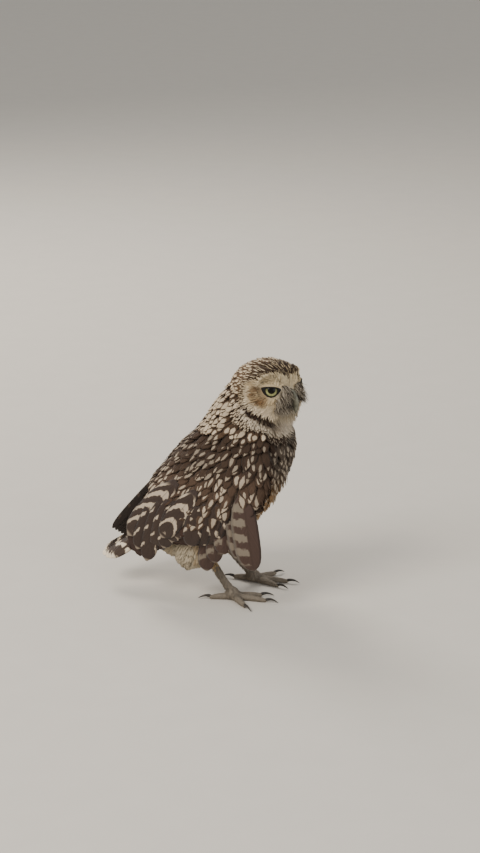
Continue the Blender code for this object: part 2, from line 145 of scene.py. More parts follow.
class OwlStageSettings(bpy.types.PropertyGroup):
    """Camera, floor and lights."""

    azimuth: bpy.props.FloatProperty(
        name="Azimuth", description="Turn of the camera from square to the side",
        subtype="ANGLE", default=math.radians(12),
    )
    pitch: bpy.props.FloatProperty(
        name="Pitch", description="Angle at which the camera looks down", subtype="ANGLE",
        default=math.radians(17),
    )
    distance: length_property("Distance", "From the camera to the floor under the breast", 2.0)
    lens: bpy.props.FloatProperty(name="Lens", description="Focal length", default=98.76, min=10.0)
    floor: colour_property("Floor", "Colour of the floor", (214, 208, 198))


def only(item):
    """Leaves this object alone selected and active."""
    if bpy.context.object is not None and bpy.context.object.mode != "OBJECT":
        bpy.ops.object.mode_set(mode="OBJECT")
    for other in bpy.context.view_layer.objects:
        other.select_set(False)
    item.select_set(True)
    bpy.context.view_layer.objects.active = item


def edit_all(item, operator, **values):
    """Runs one mesh operator on the whole of an object, in edit mode."""
    only(item)
    bpy.ops.object.mode_set(mode="EDIT")
    bpy.ops.mesh.select_all(action="SELECT")
    operator(**values)
    bpy.ops.object.mode_set(mode="OBJECT")


def link(name, mesh):
    """A new object with this mesh, in the scene."""
    made = bpy.data.objects.new(name, mesh)
    bpy.context.scene.collection.objects.link(made)
    return made


def join(items, name):
    """Joins objects into the first one, which takes the name and loses its materials."""
    only(items[0])
    for item in items[1:]:
        item.select_set(True)
    bpy.ops.object.join()
    items[0].name = name
    items[0].data.materials.clear()
    return items[0]


def flesh_copy(node):
    """A merged copy of a solid part, free of the frame."""
    made = link(node + "_copy", frame["nodes"][node].data.copy())
    edit_all(made, bpy.ops.mesh.remove_doubles, threshold=0.00001)
    return made


def apply_modifier(item, kind, **values):
    only(item)
    modifier = item.modifiers.new(kind.lower(), kind)
    for name, value in values.items():
        setattr(modifier, name, value)
    bpy.ops.object.modifier_apply(modifier=modifier.name)


def read_vertices(mesh, what):
    """A vector of every vertex, such as "co" or "normal"."""
    values = np.empty(len(mesh.vertices) * 3)
    mesh.vertices.foreach_get(what, values)
    return values.reshape(-1, 3)


def add_colours(mesh, name, values):
    attribute = mesh.attributes.new(name, "FLOAT_COLOR", "POINT")
    attribute.data.foreach_set("color", values.astype(np.float32).ravel())


def unit(vectors):
    return vectors / np.maximum(np.linalg.norm(vectors, axis=-1, keepdims=True), 1e-9)


def smooth(value, low, high):
    """0 below low and 1 above high, with a soft rise between."""
    share = np.clip((value - low) / (high - low), 0.0, 1.0)
    return share * share * (3 - 2 * share)


def fall(value, low, high):
    """1 below low and 0 above high, with a soft fall between."""
    return 1 - smooth(value, low, high)


def bell(value, centre, spread):
    """1 at the centre, with soft sides."""
    return np.exp(-(((value - centre) / spread) ** 2))


def lerp(first, second, share):
    """From the first value at 0 to the second at 1."""
    return first * (1 - share) + second * share


def corner_lists(mesh, start=0):
    """The vertex numbers of each face, counted on from start."""
    return [tuple(start + i for i in polygon.vertices) for polygon in mesh.polygons]


def node_tree_of(names):
    """A search tree over some solid parts together."""
    points, faces = [], []
    for name in names:
        mesh = frame["nodes"][name].data
        faces.extend(corner_lists(mesh, len(points)))
        points.extend(tuple(vertex.co) for vertex in mesh.vertices)
    return BVHTree.FromPolygons(points, faces)


def middle_of(node):
    low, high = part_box(node)
    return (low + high) / 2


# The way the head faces, and where its centre lies behind and below the middle of the eyes
HEAD_PITCH = math.radians(3)
EYE_AZIMUTH = math.radians(40)
EYE_ELEVATION = math.radians(18.5)
EYE_CENTRE_OUT = 0.0205
EYE_RADIUS = 0.0085

# The pupil lies this far forward and up from the line through the middle of the eye
GAZE_FORWARD = -0.00107
GAZE_UP = 0.0003

# What eye_view gives for a point that is near neither eye, in millimetres
FAR_AWAY = 99.0


def eye_direction(side):
    """The way from the head's centre to an eye, in the head's frame. Side is 1 on the left."""
    level = math.cos(EYE_ELEVATION)
    return Vector(
        (level * math.cos(EYE_AZIMUTH), side * level * math.sin(EYE_AZIMUTH), math.sin(EYE_ELEVATION))
    )


class Head:
    """The head's own frame: columns are forward, left and up, with the eyes' places in it."""

    def __init__(self):
        left, right = middle_of("eye_left"), middle_of("eye_right")
        across = left - right
        yaw = math.atan2(-across.x, across.y)
        self.turn = Matrix.Rotation(yaw, 3, "Z") @ Matrix.Rotation(HEAD_PITCH, 3, "Y")
        between = (eye_direction(1) + eye_direction(-1)) / 2 * EYE_CENTRE_OUT
        self.centre = (left + right) / 2 - self.turn @ between
        self.eyes = {"left": left, "right": right}

    def local(self, points):
        """Places in the head's own frame."""
        return (points - np.array(self.centre)) @ np.array(self.turn)

    def eye_axes(self, side):
        """The eye's gaze and its forward and upward directions. Side is 1 on the left."""
        out = self.turn @ eye_direction(side)
        for _ in range(2):
            up = self.turn @ Vector((0, 0, 1))
            up = (up - out * up.dot(out)).normalized()
            forward = up.cross(out) * side
            if forward.dot(self.turn @ Vector((1, 0, 0))) < 0:
                forward.negate()
            gaze = out
            out = (out * EYE_RADIUS + forward * GAZE_FORWARD + up * GAZE_UP).normalized()
        return gaze, forward, up

    def eye_places(self, points, word, side):
        """Places in an eye's frame: along the gaze, forward and up, in millimetres from its middle."""
        axes = np.array([tuple(axis) for axis in self.eye_axes(side)]).T
        return (points - np.array(self.eyes[word])) @ axes * 1000

    def eye_view(self, points):
        """How far forward and up of the nearer eye each point lies, in millimetres."""
        forward, up = np.full((2, len(points)), FAR_AWAY)
        for word, side in SIDES:
            out, ahead, above = self.eye_places(points, word, side).T
            near = (out > 1.5) & (np.hypot(ahead, above) < 15.0)
            forward[near], up[near] = ahead[near], above[near]
        return forward, up


head = Head()

# Parts of the body that the skin tells apart
REGIONS = {
    "head": ("head",),
    "neck": ("neck",),
    "trunk": ("trunk",),
    "wing_right": ("wing_right",),
    "wing_left": ("wing_left",),
    "thigh": ("thigh_left", "thigh_right"),
    "foot": ("shank_left", "shank_right", "foot_left", "foot_right"),
    "eye": ("eye_left", "eye_right"),
    "bill": ("bill",),
}

FLESH = (
    "head", "neck", "trunk", "wing_left", "wing_right", "thigh_left", "thigh_right",
    "shank_left", "shank_right", "foot_left", "foot_right",
)

# How far around an eye the feathers run outwards from it, as a share of the head's radius
EYE_SPREAD = 0.55

# The middle of the forehead, from which the feathers of the crown run back
BRIDGE = (1.0, 0.0, 0.22)


class Lie:
    """The surface that the tips of the coat reach, with its regions and the feathers' flow."""

    def __init__(self, mesh):
        self.points = read_vertices(mesh, "co")
        self.vertex_normals = read_vertices(mesh, "normal")
        self.faces = corner_lists(mesh)
        self.corners = np.array([face if len(face) == 4 else (*face, face[-1]) for face in self.faces])
        self.centres = self.points[self.corners].mean(1)
        self.normals = unit(self.vertex_normals[self.corners].mean(1))
        a, b, c, d = (self.points[self.corners[:, i]] for i in range(4))
        self.areas = np.linalg.norm(np.cross(c - a, d - b), axis=1) / 2
        self.tree = BVHTree.FromPolygons([tuple(p) for p in self.points], self.faces)
        self.distances = {}
        for region, names in REGIONS.items():
            tree = node_tree_of(names)
            self.distances[region] = np.array([tree.find_nearest(tuple(p))[3] for p in self.centres])
        names = list(self.distances)
        table = np.stack([self.distances[name] for name in names])
        self.region = np.array(names)[table.argmin(0)]
        self.flow = self.find_flow()

    def over(self, first, second, low, high):
        """1 where a face is nearer to the second region than to the first, with a soft rise."""
        return smooth(self.distances[first] - self.distances[second], low, high)

    def find_flow(self):
        """The way the feathers point at each face, from root to tip."""
        lean = np.radians(np.interp(body_share(self.centres), FLOW_ACROSS, FLOW_LEAN))
        body = np.stack([-np.sin(lean), np.zeros(len(lean)), -np.cos(lean)], 1)
        direction = unit(head.local(self.centres))
        away = np.zeros_like(direction)
        weight = np.zeros(len(direction))
        for _, side in SIDES:
            eye = np.array(eye_direction(side))
            apart = np.linalg.norm(direction - eye, axis=1)
            share = bell(apart, 0.0, EYE_SPREAD) * (1 - 0.7 * smooth(direction[:, 2], 0.45, 0.75))
            away += unit(direction - eye) * share[:, None]
            weight += share
        back = unit(direction - unit(np.array(BRIDGE)))
        on_head = unit(back * (1 - np.minimum(weight, 0.9))[:, None] + away) @ np.array(head.turn).T
        flow = lerp(body, on_head, self.over("neck", "head", -0.004, 0.006)[:, None])
        flow -= self.normals * (flow * self.normals).sum(1)[:, None]
        return unit(flow)

    def settle(self, points):
        """The nearest places on the surface, with their faces."""
        found = [self.tree.find_nearest(tuple(point)) for point in points]
        return np.array([place for place, _, _, _ in found]), np.array([face for _, _, face, _ in found])


# The body's outline in its own frame: heights, and the back and front edges there
OUTLINE_HEIGHTS = (0.020, 0.042, 0.062, 0.084, 0.109, 0.132, 0.156, 0.183)
OUTLINE_BACK = (-0.080, -0.083, -0.085, -0.0835, -0.0715, -0.0535, -0.034, -0.016)
OUTLINE_FRONT = (-0.040, -0.018, 0.006, 0.0245, 0.0375, 0.0435, 0.037, 0.036)

# How far the feathers lean back from hanging straight, in degrees, from the back edge to the front
FLOW_ACROSS = (0.0, 0.25, 0.5, 0.75, 1.0)
FLOW_LEAN = (52.0, 42.0, 26.0, 10.0, 2.0)


def body_share(points):
    """Where points lie between the body's back edge, 0, and its front edge, 1."""
    back = np.interp(points[:, 2], OUTLINE_HEIGHTS, OUTLINE_BACK) + AHEAD
    front = np.interp(points[:, 2], OUTLINE_HEIGHTS, OUTLINE_FRONT) + AHEAD
    return np.clip((points[:, 0] - back) / (front - back), 0.0, 1.0)


def make_surface():
    """The solid parts of the flesh, fused into one closed skin at the coat's outer face."""
    copies = [flesh_copy(node) for node in FLESH + ("eye_left", "eye_right")]
    for copy in copies:
        apply_modifier(copy, "DISPLACE", strength=0.0005, mid_level=0.0)
    skin = join(copies, "skin")
    skin.data.name = "skin"
    voxel = bpy.context.scene.owl_plumage.skin_voxel
    apply_modifier(skin, "REMESH", mode="VOXEL", voxel_size=voxel, adaptivity=0.0)
    refine(skin)
    group = skin.vertex_groups.new(name="soft")
    legs = fall(read_vertices(skin.data, "co")[:, 2], 0.020, 0.034)
    for i, share in enumerate(legs):
        group.add([i], 1.0 - 0.8 * float(share), "REPLACE")
    apply_modifier(skin, "SMOOTH", factor=0.5, iterations=7, vertex_group="soft")
    skin.vertex_groups.clear()
    return skin


def refine(skin):
    """Halves the faces around the eyes, the bill and on the legs, and once more close to the eyes."""
    mesh = skin.data
    shape = bmesh.new()
    shape.from_mesh(mesh)
    eyes = list(head.eyes.values())
    bill = middle_of("bill")
    for reaches, lowest in (((0.0145, 0.012), 0.026), ((0.0120, 0.0), 0.0)):
        chosen = set()
        for face in shape.faces:
            centre = face.calc_center_median()
            near = any((centre - eye).length < reaches[0] for eye in eyes)
            near = near or (centre - bill).length < reaches[1]
            if near or centre.z < lowest:
                chosen.update(face.edges)
        bmesh.ops.subdivide_edges(shape, edges=list(chosen), cuts=1, use_grid_fill=True)
        bmesh.ops.triangulate(shape, faces=[face for face in shape.faces if len(face.verts) > 4])
    shape.to_mesh(mesh)
    shape.free()


class Workshop:
    """What the first operator makes and the later ones use."""

    lie = None
    looks = None
    depth = None
    bake = None


def coat_depth(lie):
    """The depth of the plumage at each face."""
    plumage = bpy.context.scene.owl_plumage
    headed = lie.over("neck", "head", -0.004, 0.006)
    face = smooth(unit(head.local(lie.centres))[:, 0], 0.1, 0.6) * headed
    depth = lerp(plumage.back_depth, plumage.head_depth, headed) * (1 - 0.55 * face)
    depth = depth * (0.12 + 0.88 * smooth(outside_rims(lie.centres), 0.0, 4.0))
    wings = np.minimum(lie.distances["wing_left"], lie.distances["wing_right"])
    depth = depth * (1 - 0.25 * smooth(lie.distances["trunk"] - wings, 0.0, 0.004))
    footed = lie.over("thigh", "foot", -0.001, 0.003)
    footed = np.maximum(footed, fall(lie.centres[:, 2], 0.018, 0.026))
    return lerp(depth, 0.0003, footed)


def to_vertices(lie, values):
    """Values of the faces, as the mean at each vertex."""
    wide = values.reshape(len(values), -1)
    total = np.zeros((len(lie.points), wide.shape[1]))
    count = np.zeros(len(lie.points))
    for column in range(4):
        np.add.at(total, lie.corners[:, column], wide)
        np.add.at(count, lie.corners[:, column], 1)
    return total / np.maximum(count, 1)[:, None]


def sink(lie, depth):
    """Moves the skin's vertices inwards by the coat's depth, and less where the part is thin."""
    sunk = lie.points.copy()
    for i, (point, normal) in enumerate(zip(lie.points, lie.vertex_normals)):
        start = point - normal * 0.0003
        hit = lie.tree.ray_cast(tuple(start), tuple(-normal), 0.05)
        room = 0.05 if hit[0] is None else hit[3]
        sunk[i] = point - normal * min(depth[i], 0.38 * room)
    return sunk


# Heights over the pupil's middle of the upper lid's edge and of the black line on it, in millimetres,
# as (height, slope, fall) in powers of the distance forward
LID_EDGE = (1.6, 0.02, -0.010)
LID_LINE = (2.9, 0.0, -0.010)

# The outline of the black skin under the eye, from its rear corner to its front one, in millimetres
UNDER_FORWARD = (-9.1, -7.8, -6.1, -3.5, 0.0, 3.3, 5.9, 7.6, 8.9)
UNDER_UP = (1.30, -1.35, -3.75, -5.60, -6.45, -5.40, -2.75, -0.45, 1.35)

# The fold between the upper lid and the brow, in millimetres from the pupil
FOLD_FORWARD = (-11.5, -9.0, -6.0, -2.0, 1.0, 4.0, 7.7, 10.0, 13.0)
FOLD_UP = (2.6, 5.4, 6.7, 7.3, 7.2, 6.1, 4.0, 2.8, 1.3)

# The ridges above, on and below that fold: place over it, spread and height, in millimetres
FOLD_RIDGES = ((2.6, 2.0, 1.6), (0.0, 0.9, -0.2), (-2.2, 1.2, 0.4))

# How far the lids stand over the eyeball, in millimetres
LID_THICKNESS = 0.85

# Beyond this distance from the gaze the lids fall away from the ball at an even slope, in millimetres
LID_REACH = 6.6
LID_SLOPE = 0.30

# The middle of the opening, as its height over the pupil in millimetres
OPENING_MIDDLE = -1.6


def lid_height(forward, powers):
    return powers[0] + powers[1] * forward + powers[2] * forward**2


def outside_opening(forward, up):
    """Roughly how far outside the lids' opening a place is, in millimetres. Below 0 is inside."""
    radius = bpy.context.scene.owl_eyes.opening_radius * 1000
    return np.maximum(np.hypot(forward, up) - radius, up - lid_height(forward, LID_EDGE))


def outside_rim(forward, up):
    """Roughly how far outside the black skin around the eye a place is, in millimetres."""
    under = np.interp(forward, UNDER_FORWARD, UNDER_UP)
    beyond = np.maximum(forward - UNDER_FORWARD[-1], UNDER_FORWARD[0] - forward)
    return np.maximum(np.maximum(up - lid_height(forward, LID_LINE), under - up), beyond)


def outside_rims(points):
    """For each point, how far outside the black skin of the nearer eye it is, in millimetres."""
    return outside_rim(*head.eye_view(points))


def lid_level(reach):
    """Height of the lids along the gaze at this distance from it, both in millimetres."""
    ball = EYE_RADIUS * 1000 + LID_THICKNESS
    start = math.sqrt(ball**2 - LID_REACH**2)
    curved = np.sqrt(np.maximum(ball**2 - np.minimum(reach, LID_REACH) ** 2, 0.0))
    return np.where(reach < LID_REACH, curved, start - LID_SLOPE * (reach - LID_REACH))


def shape_eyes(points):
    """Lays the surface over each eyeball, with a lowered lid and a brow, and under it in the opening."""
    sunk_ball = EYE_RADIUS * 1000 - 1.3
    for word, side in SIDES:
        out, forward, up = head.eye_places(points, word, side).T
        reach = np.hypot(forward, up)
        in_front = out > -2.0
        above = up - np.interp(forward, FOLD_FORWARD, FOLD_UP)
        relief = sum(height * bell(above, place, spread) for place, spread, height in FOLD_RIDGES)
        relief *= fall(np.abs(forward - 1.0), 9.0, 13.5) * in_front
        hole = fall(outside_opening(forward, up), 0.0, 0.5)
        under = np.sqrt(np.maximum(sunk_ball**2 - reach**2, 9.0))
        hold = np.where(in_front & (reach < 12.5), fall(reach, 8.6, 12.5), 0.0)
        moved = lerp(out, lerp(lid_level(reach), under, hole), hold) + relief * (1 - hole)
        gaze = np.array(head.eye_axes(side)[0])
        points = points + gaze * ((moved - out) / 1000)[:, None]
    return points


def outline_reach(outside, turn):
    """Distance from the opening's middle to an outline in a direction, in millimetres."""
    reaches = np.arange(0.0, 12.0, 0.02)
    forward = np.cos(turn) * reaches
    up = OPENING_MIDDLE + np.sin(turn) * reaches
    return reaches[np.nonzero(outside(forward, up) < 0)[0].max()]


# The rim's section, from the opening outwards: share of the breadth, and millimetres over the lids
RIM_SECTION = (
    (0.0, -1.3), (0.0, -0.1), (0.10, 0.25), (0.35, 0.36),
    (0.65, 0.28), (0.90, 0.08), (1.0, -0.25), (0.5, -1.6),
)
RIM_STEPS = 96


def lid_rims():
    """The bare black skin around each eye, as points and faces of one closed band for each."""
    points, faces = [], []
    wide = len(RIM_SECTION)
    turns = 2 * math.pi * np.arange(RIM_STEPS) / RIM_STEPS
    for word, side in SIDES:
        gaze, forward, up = (np.array(axis) for axis in head.eye_axes(side))
        inner = np.array([outline_reach(outside_opening, turn) for turn in turns])
        outer = np.array([outline_reach(outside_rim, turn) for turn in turns])
        outer = (np.roll(outer, 1) + 2 * outer + np.roll(outer, -1)) / 4
        start = len(points)
        for turn, near, far in zip(turns, inner, outer):
            for share, height in RIM_SECTION:
                reach = near + (far - near) * share
                ahead = math.cos(turn) * reach
                above = OPENING_MIDDLE + math.sin(turn) * reach
                level = float(lid_level(math.hypot(ahead, above))) + height
                place = gaze * level + forward * ahead + up * above
                points.append(tuple(np.array(head.eyes[word]) + place / 1000))
        for step, place in itertools.product(range(RIM_STEPS), range(wide)):
            here = start + step * wide
            beyond = start + (step + 1) % RIM_STEPS * wide
            after = (place + 1) % wide
            faces.append((here + place, here + after, beyond + after, beyond + place))
    return points, faces


def rims_piece():
    """The black skin around both eyes as one object with its tone."""
    points, faces = lid_rims()
    rims = bpy.data.meshes.new("rims")
    rims.from_pydata(points, [], faces)
    add_colours(rims, "tone", np.tile((*bpy.context.scene.owl_eyes.rim, 1.0), (len(points), 1)))
    made = link("rims", rims)
    edit_all(made, bpy.ops.mesh.normals_make_consistent, inside=False)
    return made


def unwrap(lie):
    """A flat map of the skin's own shape: for each face, its place on the map."""
    mesh = bpy.data.meshes.new("unwrap")
    mesh.from_pydata([tuple(p) for p in lie.points], [], lie.faces)
    item = link("unwrap", mesh)
    edit_all(item, bpy.ops.uv.smart_project, angle_limit=math.radians(66), island_margin=0.004)
    corners = np.empty(len(mesh.loops) * 2)
    mesh.uv_layers.active.uv.foreach_get("vector", corners)
    corners = corners.reshape(-1, 2)
    loops = [slice(face.loop_start, face.loop_start + face.loop_total) for face in mesh.polygons]
    places = np.array([corners[loop].mean(0) for loop in loops])
    bpy.data.objects.remove(item)
    return places


class OWL_OT_make_skin(bpy.types.Operator):
    """Draw one skin over the flesh, sink it under the coat and shape the lids"""

    bl_idname = "owl.make_skin"
    bl_label = "Make Skin"

    def execute(self, context):
        skin = make_surface()
        mesh = skin.data
        mesh.vertices.foreach_set("co", shape_eyes(read_vertices(mesh, "co")).ravel())
        mesh.update()
        lie = Lie(mesh)
        Workshop.lie = lie
        Workshop.looks = Markings(lie)
        Workshop.depth = coat_depth(lie)
        Workshop.bake = unwrap(lie)
        depth = to_vertices(lie, Workshop.depth)[:, 0]
        mesh.vertices.foreach_set("co", sink(lie, depth).ravel())
        mesh.update()
        tones = to_vertices(lie, Workshop.looks.skin)
        add_colours(mesh, "tone", np.concatenate([tones, np.ones((len(tones), 1))], 1))
        join([skin, rims_piece()], "skin")
        mesh.materials.append(skin_material())
        mesh.shade_smooth()
        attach(skin, BODY)
        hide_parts(*FLESH)
        return {"FINISHED"}


# The brow's upper and lower edges: elevations over azimuths of the head, in degrees
BROW_AZIMUTHS = (0.0, 6.0, 14.0, 26.0, 45.0, 62.0, 74.0, 88.0, 104.0)
BROW_TOPS = (32.0, 43.0, 47.0, 49.0, 47.5, 42.5, 34.0, 25.0, 16.0)
BROW_BOTTOMS = (16.0, 17.0, 18.0, 20.0, 22.0, 23.0, 23.0, 20.0, 15.0)

# The collar stripe under the face, and the edge of the face itself
COLLAR_AZIMUTHS = (20.0, 39.5, 55.5, 65.0, 74.0, 82.0, 96.0)
COLLAR_CENTRES = (-50.0, -38.5, -31.0, -27.0, -22.5, -17.2, -8.0)
FACE_REAR = 90.0

# The crown reaches lower over the left brow: by how many degrees, at which azimuth, over what spread
LEFT_BROW_DROP = (10.0, 30.0, 17.0)

# Beyond this distance from the head's centre, from none to all, the face and its collar give way to the neck
HEAD_ENDS = (0.040, 0.044)

# Soft brown patches behind and below the eye: azimuth and its spread, elevation and its spread in degrees,
# strength, and the shade
FACE_PATCHES = (
    (70, 7, 19, 5, 1.0, ("tawny", "bark", 0.55)),
    (77, 5, 10, 7, 1.0, ("tawny", "bark", 0.15)),
    (61, 10, -2, 6.5, 1.2, ("tawny", "bark", 0.12)),
    (40, 9, -4, 8, 1.0, ("straw", "tawny", 0.25)),
)

# Spots of the common kinds of feather: place across and along the vane, half width and half length
BACK_SPOT = (0.17, 0.73, 0.38, 0.25)
COVERT_SPOT = (0.15, 0.73, 0.42, 0.27)
BREAST_SPOT = (0.15, 0.72, 0.38, 0.24)
BELLY_BAR = (0.0, 0.72, 0.8, 0.15)
FLANK_BAR = (0.0, 0.7, 0.6, 0.2)
NECK_SPOT = (0.05, 0.72, 0.74, 0.32)
NAPE_SPOT = (0.08, 0.73, 0.50, 0.28)
CROWN_SPOT = (0.15, 0.64, 0.38, 0.34)
FACE_STREAK = (0.0, 0.6, 0.3, 0.4)
EAR_STREAK = (0.1, 0.7, 0.5, 0.4)
LORE_STREAK = (0.0, 0.6, 0.5, 0.5)


class Markings:
    """Colours and spot plans for every face: ground, mark, where the mark lies on the vane and how often.

    Heights and places are in metres, and azimuths and elevations about the head's centre in degrees.
    """

    def __init__(self, lie):
        self.lie = lie
        count = len(lie.centres)
        plumage = bpy.context.scene.owl_plumage
        self.shades = {name: np.array(getattr(plumage, name)) for name in PLUMAGE_SHADES}
        self.ground = np.tile(self.shades["umber"], (count, 1))
        self.mark = np.tile(self.shades["cream"], (count, 1))
        self.spot = np.tile(BACK_SPOT, (count, 1))
        self.strength = np.ones(count)
        self.often = np.full(count, 0.72)
        local = head.local(lie.centres)
        self.radius = np.linalg.norm(local, axis=1)
        local = unit(local)
        self.azimuth = np.degrees(np.arctan2(np.abs(local[:, 1]), local[:, 0]))
        self.elevation = np.degrees(np.arcsin(np.clip(local[:, 2], -1, 1)))
        drop, middle, spread = LEFT_BROW_DROP
        self.brow_top = np.interp(self.azimuth, BROW_AZIMUTHS, BROW_TOPS)
        self.brow_top -= np.where(local[:, 1] > 0, drop * bell(self.azimuth, middle, spread), 0.0)
        self.brow_bottom = np.interp(self.azimuth, BROW_AZIMUTHS, BROW_BOTTOMS)
        self.collar = np.interp(self.azimuth, COLLAR_AZIMUTHS, COLLAR_CENTRES)
        self.own_x = lie.centres[:, 0] - AHEAD
        self.height = lie.centres[:, 2]
        self.over_edge = self.height - np.interp(self.own_x, COVERT_EDGE_X, COVERT_EDGE_Z)
        self.mark_body()
        self.mark_head()
        self.mark_eyes()
        self.skin = lerp(self.ground, self.mark, 0.25)

    def lay(self, weight, ground=None, mark=None, spot=None, strength=None, often=None):
        """Blends a zone in by weight."""
        weight = np.minimum(weight, 1.0)
        wide = weight[:, None]
        if ground is not None:
            self.ground = lerp(self.ground, self.shade(ground), wide)
        if mark is not None:
            self.mark = lerp(self.mark, self.shade(mark), wide)
        if spot is not None:
            self.spot = lerp(self.spot, np.array(spot), wide)
        if strength is not None:
            self.strength = lerp(self.strength, strength, weight)
        if often is not None:
            self.often = lerp(self.often, often, weight)

    def shade(self, name):
        """A named shade, or a mix written as (name, name, share of the second)."""
        if isinstance(name, str):
            return self.shades[name]
        first, second, share = name
        return lerp(self.shades[first], self.shades[second], share)

    def mark_body(self):
        near = self.lie.distances
        height, own_x = self.height, self.own_x
        flesh = np.minimum(np.minimum(near["trunk"], near["thigh"]), near["foot"])
        winged = smooth(flesh - np.minimum(near["wing_left"], near["wing_right"]), 0.0, 0.003)
        bare = 1 - winged
        coverts = winged * fall(height, 0.100, 0.122)
        self.ground = self.ground * (1.04 + 0.58 * coverts)[:, None]
        self.mark = self.mark * (0.62 + 0.36 * coverts)[:, None]
        self.lay(coverts, spot=COVERT_SPOT, often=0.84)
        breast = smooth(body_share(self.lie.centres), 0.66, 0.86) * bare
        self.lay(breast, ("umber", "sage", 0.13), ("cream", "sage", 0.4), BREAST_SPOT, 0.8, 0.88)
        low = breast * fall(height, 0.080, 0.112)
        self.lay(low, ("rufous", "umber", 0.30), ("down", "cream", 0.5), BELLY_BAR, 0.8, 0.8)
        under = bare * fall(height, 0.058, 0.078)
        self.lay(under, ("down", "rufous", 0.45), "down", FLANK_BAR, 0.7, 0.6)
        vent = bare * fall(height, 0.044, 0.062) * fall(own_x, -0.030, -0.020)
        self.lay(vent, "down", "down", None, 0.0)
        thigh = self.lie.over("trunk", "thigh", -0.002, 0.001) * bare
        self.lay(thigh, ("ochre", "down", 0.2), "down", None, 0.0)
        self.lay(thigh * fall(own_x, -0.036, -0.026), "down", "down", None, 0.0)
        footed = self.lie.over("thigh", "foot", -0.001, 0.003)
        self.lay(footed, "leg", ("leg", "down", 0.4), None, 0.0)
        neck = smooth(height, 0.141, 0.148)
        self.lay(neck, ("umber", "tawny", 0.15), ("cream", "warm", 0.6), NECK_SPOT, 1.0, 0.96)
        bared = winged * fall(self.over_edge, -0.014, -0.008) * fall(own_x, 0.004, 0.012)
        self.lay(bared, "plum", "plum", None, 0.0)

    def mark_head(self):
        azimuth, elevation = self.azimuth, self.elevation
        headed = self.lie.over("neck", "head", -0.003, 0.003)
        self.lay(headed, ("bark", "tawny", 0.1), ("cream", "straw", 0.5), CROWN_SPOT, 1.0, 0.82)
        nape = headed * smooth(azimuth, 80, 112)
        self.lay(nape, ("umber", "tawny", 0.33), "warm", NAPE_SPOT, 1.0, 0.95)
        fore = headed * fall(azimuth, 45, 80) * smooth(elevation, 38, 50) * fall(elevation, 72, 84)
        self.lay(fore, "bark", ("straw", "tawny", 0.3), None, 1.0, 0.70)
        face = headed * fall(azimuth, FACE_REAR - 6, FACE_REAR + 6)
        face *= fall(elevation, self.brow_top - 2, self.brow_top + 1)
        self.lay(face, ("straw", "ivory", 0.45), ("straw", "tawny", 0.3), FACE_STREAK, 0.3, 0.6)
        brow = face * smooth(elevation, self.brow_bottom - 3, self.brow_bottom + 1)
        self.lay(brow, ("straw", "ivory", 0.15), "ivory", None, 0.25)
        self.lay(brow * smooth(azimuth, 66, 82), ("straw", "tawny", 0.5))
        ear = face * smooth(azimuth, 42, 52) * fall(azimuth, 76, 84)
        ear *= smooth(elevation, -15, -8) * fall(elevation, 20, 24)
        self.lay(ear, ("tawny", "straw", 0.55), ("tawny", "bark", 0.85), EAR_STREAK, 0.9, 0.38)
        for middle, spread, height, height_spread, strength, shade in FACE_PATCHES:
            patch = strength * bell(azimuth, middle, spread) * bell(elevation, height, height_spread)
            self.lay(face * np.minimum(patch, 1.0), shade)
        lore = face * fall(azimuth, 22, 34) * fall(elevation, self.brow_bottom - 5, self.brow_bottom)
        self.lay(lore, ("sage", "straw", 0.1), ("sage", "bark", 0.9), LORE_STREAK, 0.9, 0.45)
        smudge = 1.3 * face * bell(azimuth, 8, 9) * bell(elevation, -11, 8.5)
        self.lay(smudge, ("bark", "sage", 0.25), "bark")
        chin = face * fall(elevation, -36, -28) * fall(azimuth, 26, 40)
        self.lay(chin, ("sage", "straw", 0.35), "straw", None, 0.4)
        rim = face * fall(elevation, -22, -14) * smooth(azimuth, 34, 46)
        self.lay(rim, ("straw", "ivory", 0.6), "ivory", None, 0.2)
        rise = elevation - self.collar
        inner = fall(self.radius, *HEAD_ENDS)
        under = inner * smooth(azimuth, 28, 40) * fall(azimuth, 84, 92)
        cheek = under * smooth(rise, 2.0, 5.0) * fall(rise, 12, 20)
        self.lay(cheek, ("straw", "ivory", 0.6), "ivory", None, 0.2)
        self.lay(1.2 * under * bell(rise, -6.5, 4.0), ("ivory", "tawny", 0.18), "ivory", None, 0.3)
        self.lay(1.6 * under * bell(rise, 0.0, 2.4), "bark", "bark", None, 0.0)
        throat = inner * bell(elevation, -52, 8) * fall(azimuth, 25, 50)
        self.lay(throat, "ivory", "ivory", None, 0.0)

    def mark_eyes(self):
        """The upper lids, a painted shadow along the folds over them and the pale spot before each eye, in
        millimetres.
        """
        forward, up = head.eye_view(self.lie.centres)
        above = up - np.interp(forward, FOLD_FORWARD, FOLD_UP)
        aside = np.abs(forward - 1.0)
        span = (aside < 20.0) * fall(aside, 9.5, 13.0)
        lid = span * smooth(above, -7.5, -5.0) * fall(above, -0.8, 0.4) * smooth(up, 1.5, 2.5)
        self.lay(lid, ("straw", "tawny", 0.25), "straw", None, 0.2)
        # A dark band along the fold between lid and brow: painted shadow of the fold
        self.lay(0.6 * span * bell(above, 0.1, 0.8), ("straw", "bark", 0.6), "straw", None, 0.1)
        front = bell(forward, 9.0, 2.2) * bell(up, 1.0, 1.6) * (forward < 20)
        self.lay(front, ("sage", "ivory", 0.4), "ivory", None, 0.0)


PLUMAGE_SHADES = (
    "umber", "bark", "cream", "warm", "ivory", "straw", "tawny",
    "sage", "rufous", "ochre", "down", "plum", "leg",
)


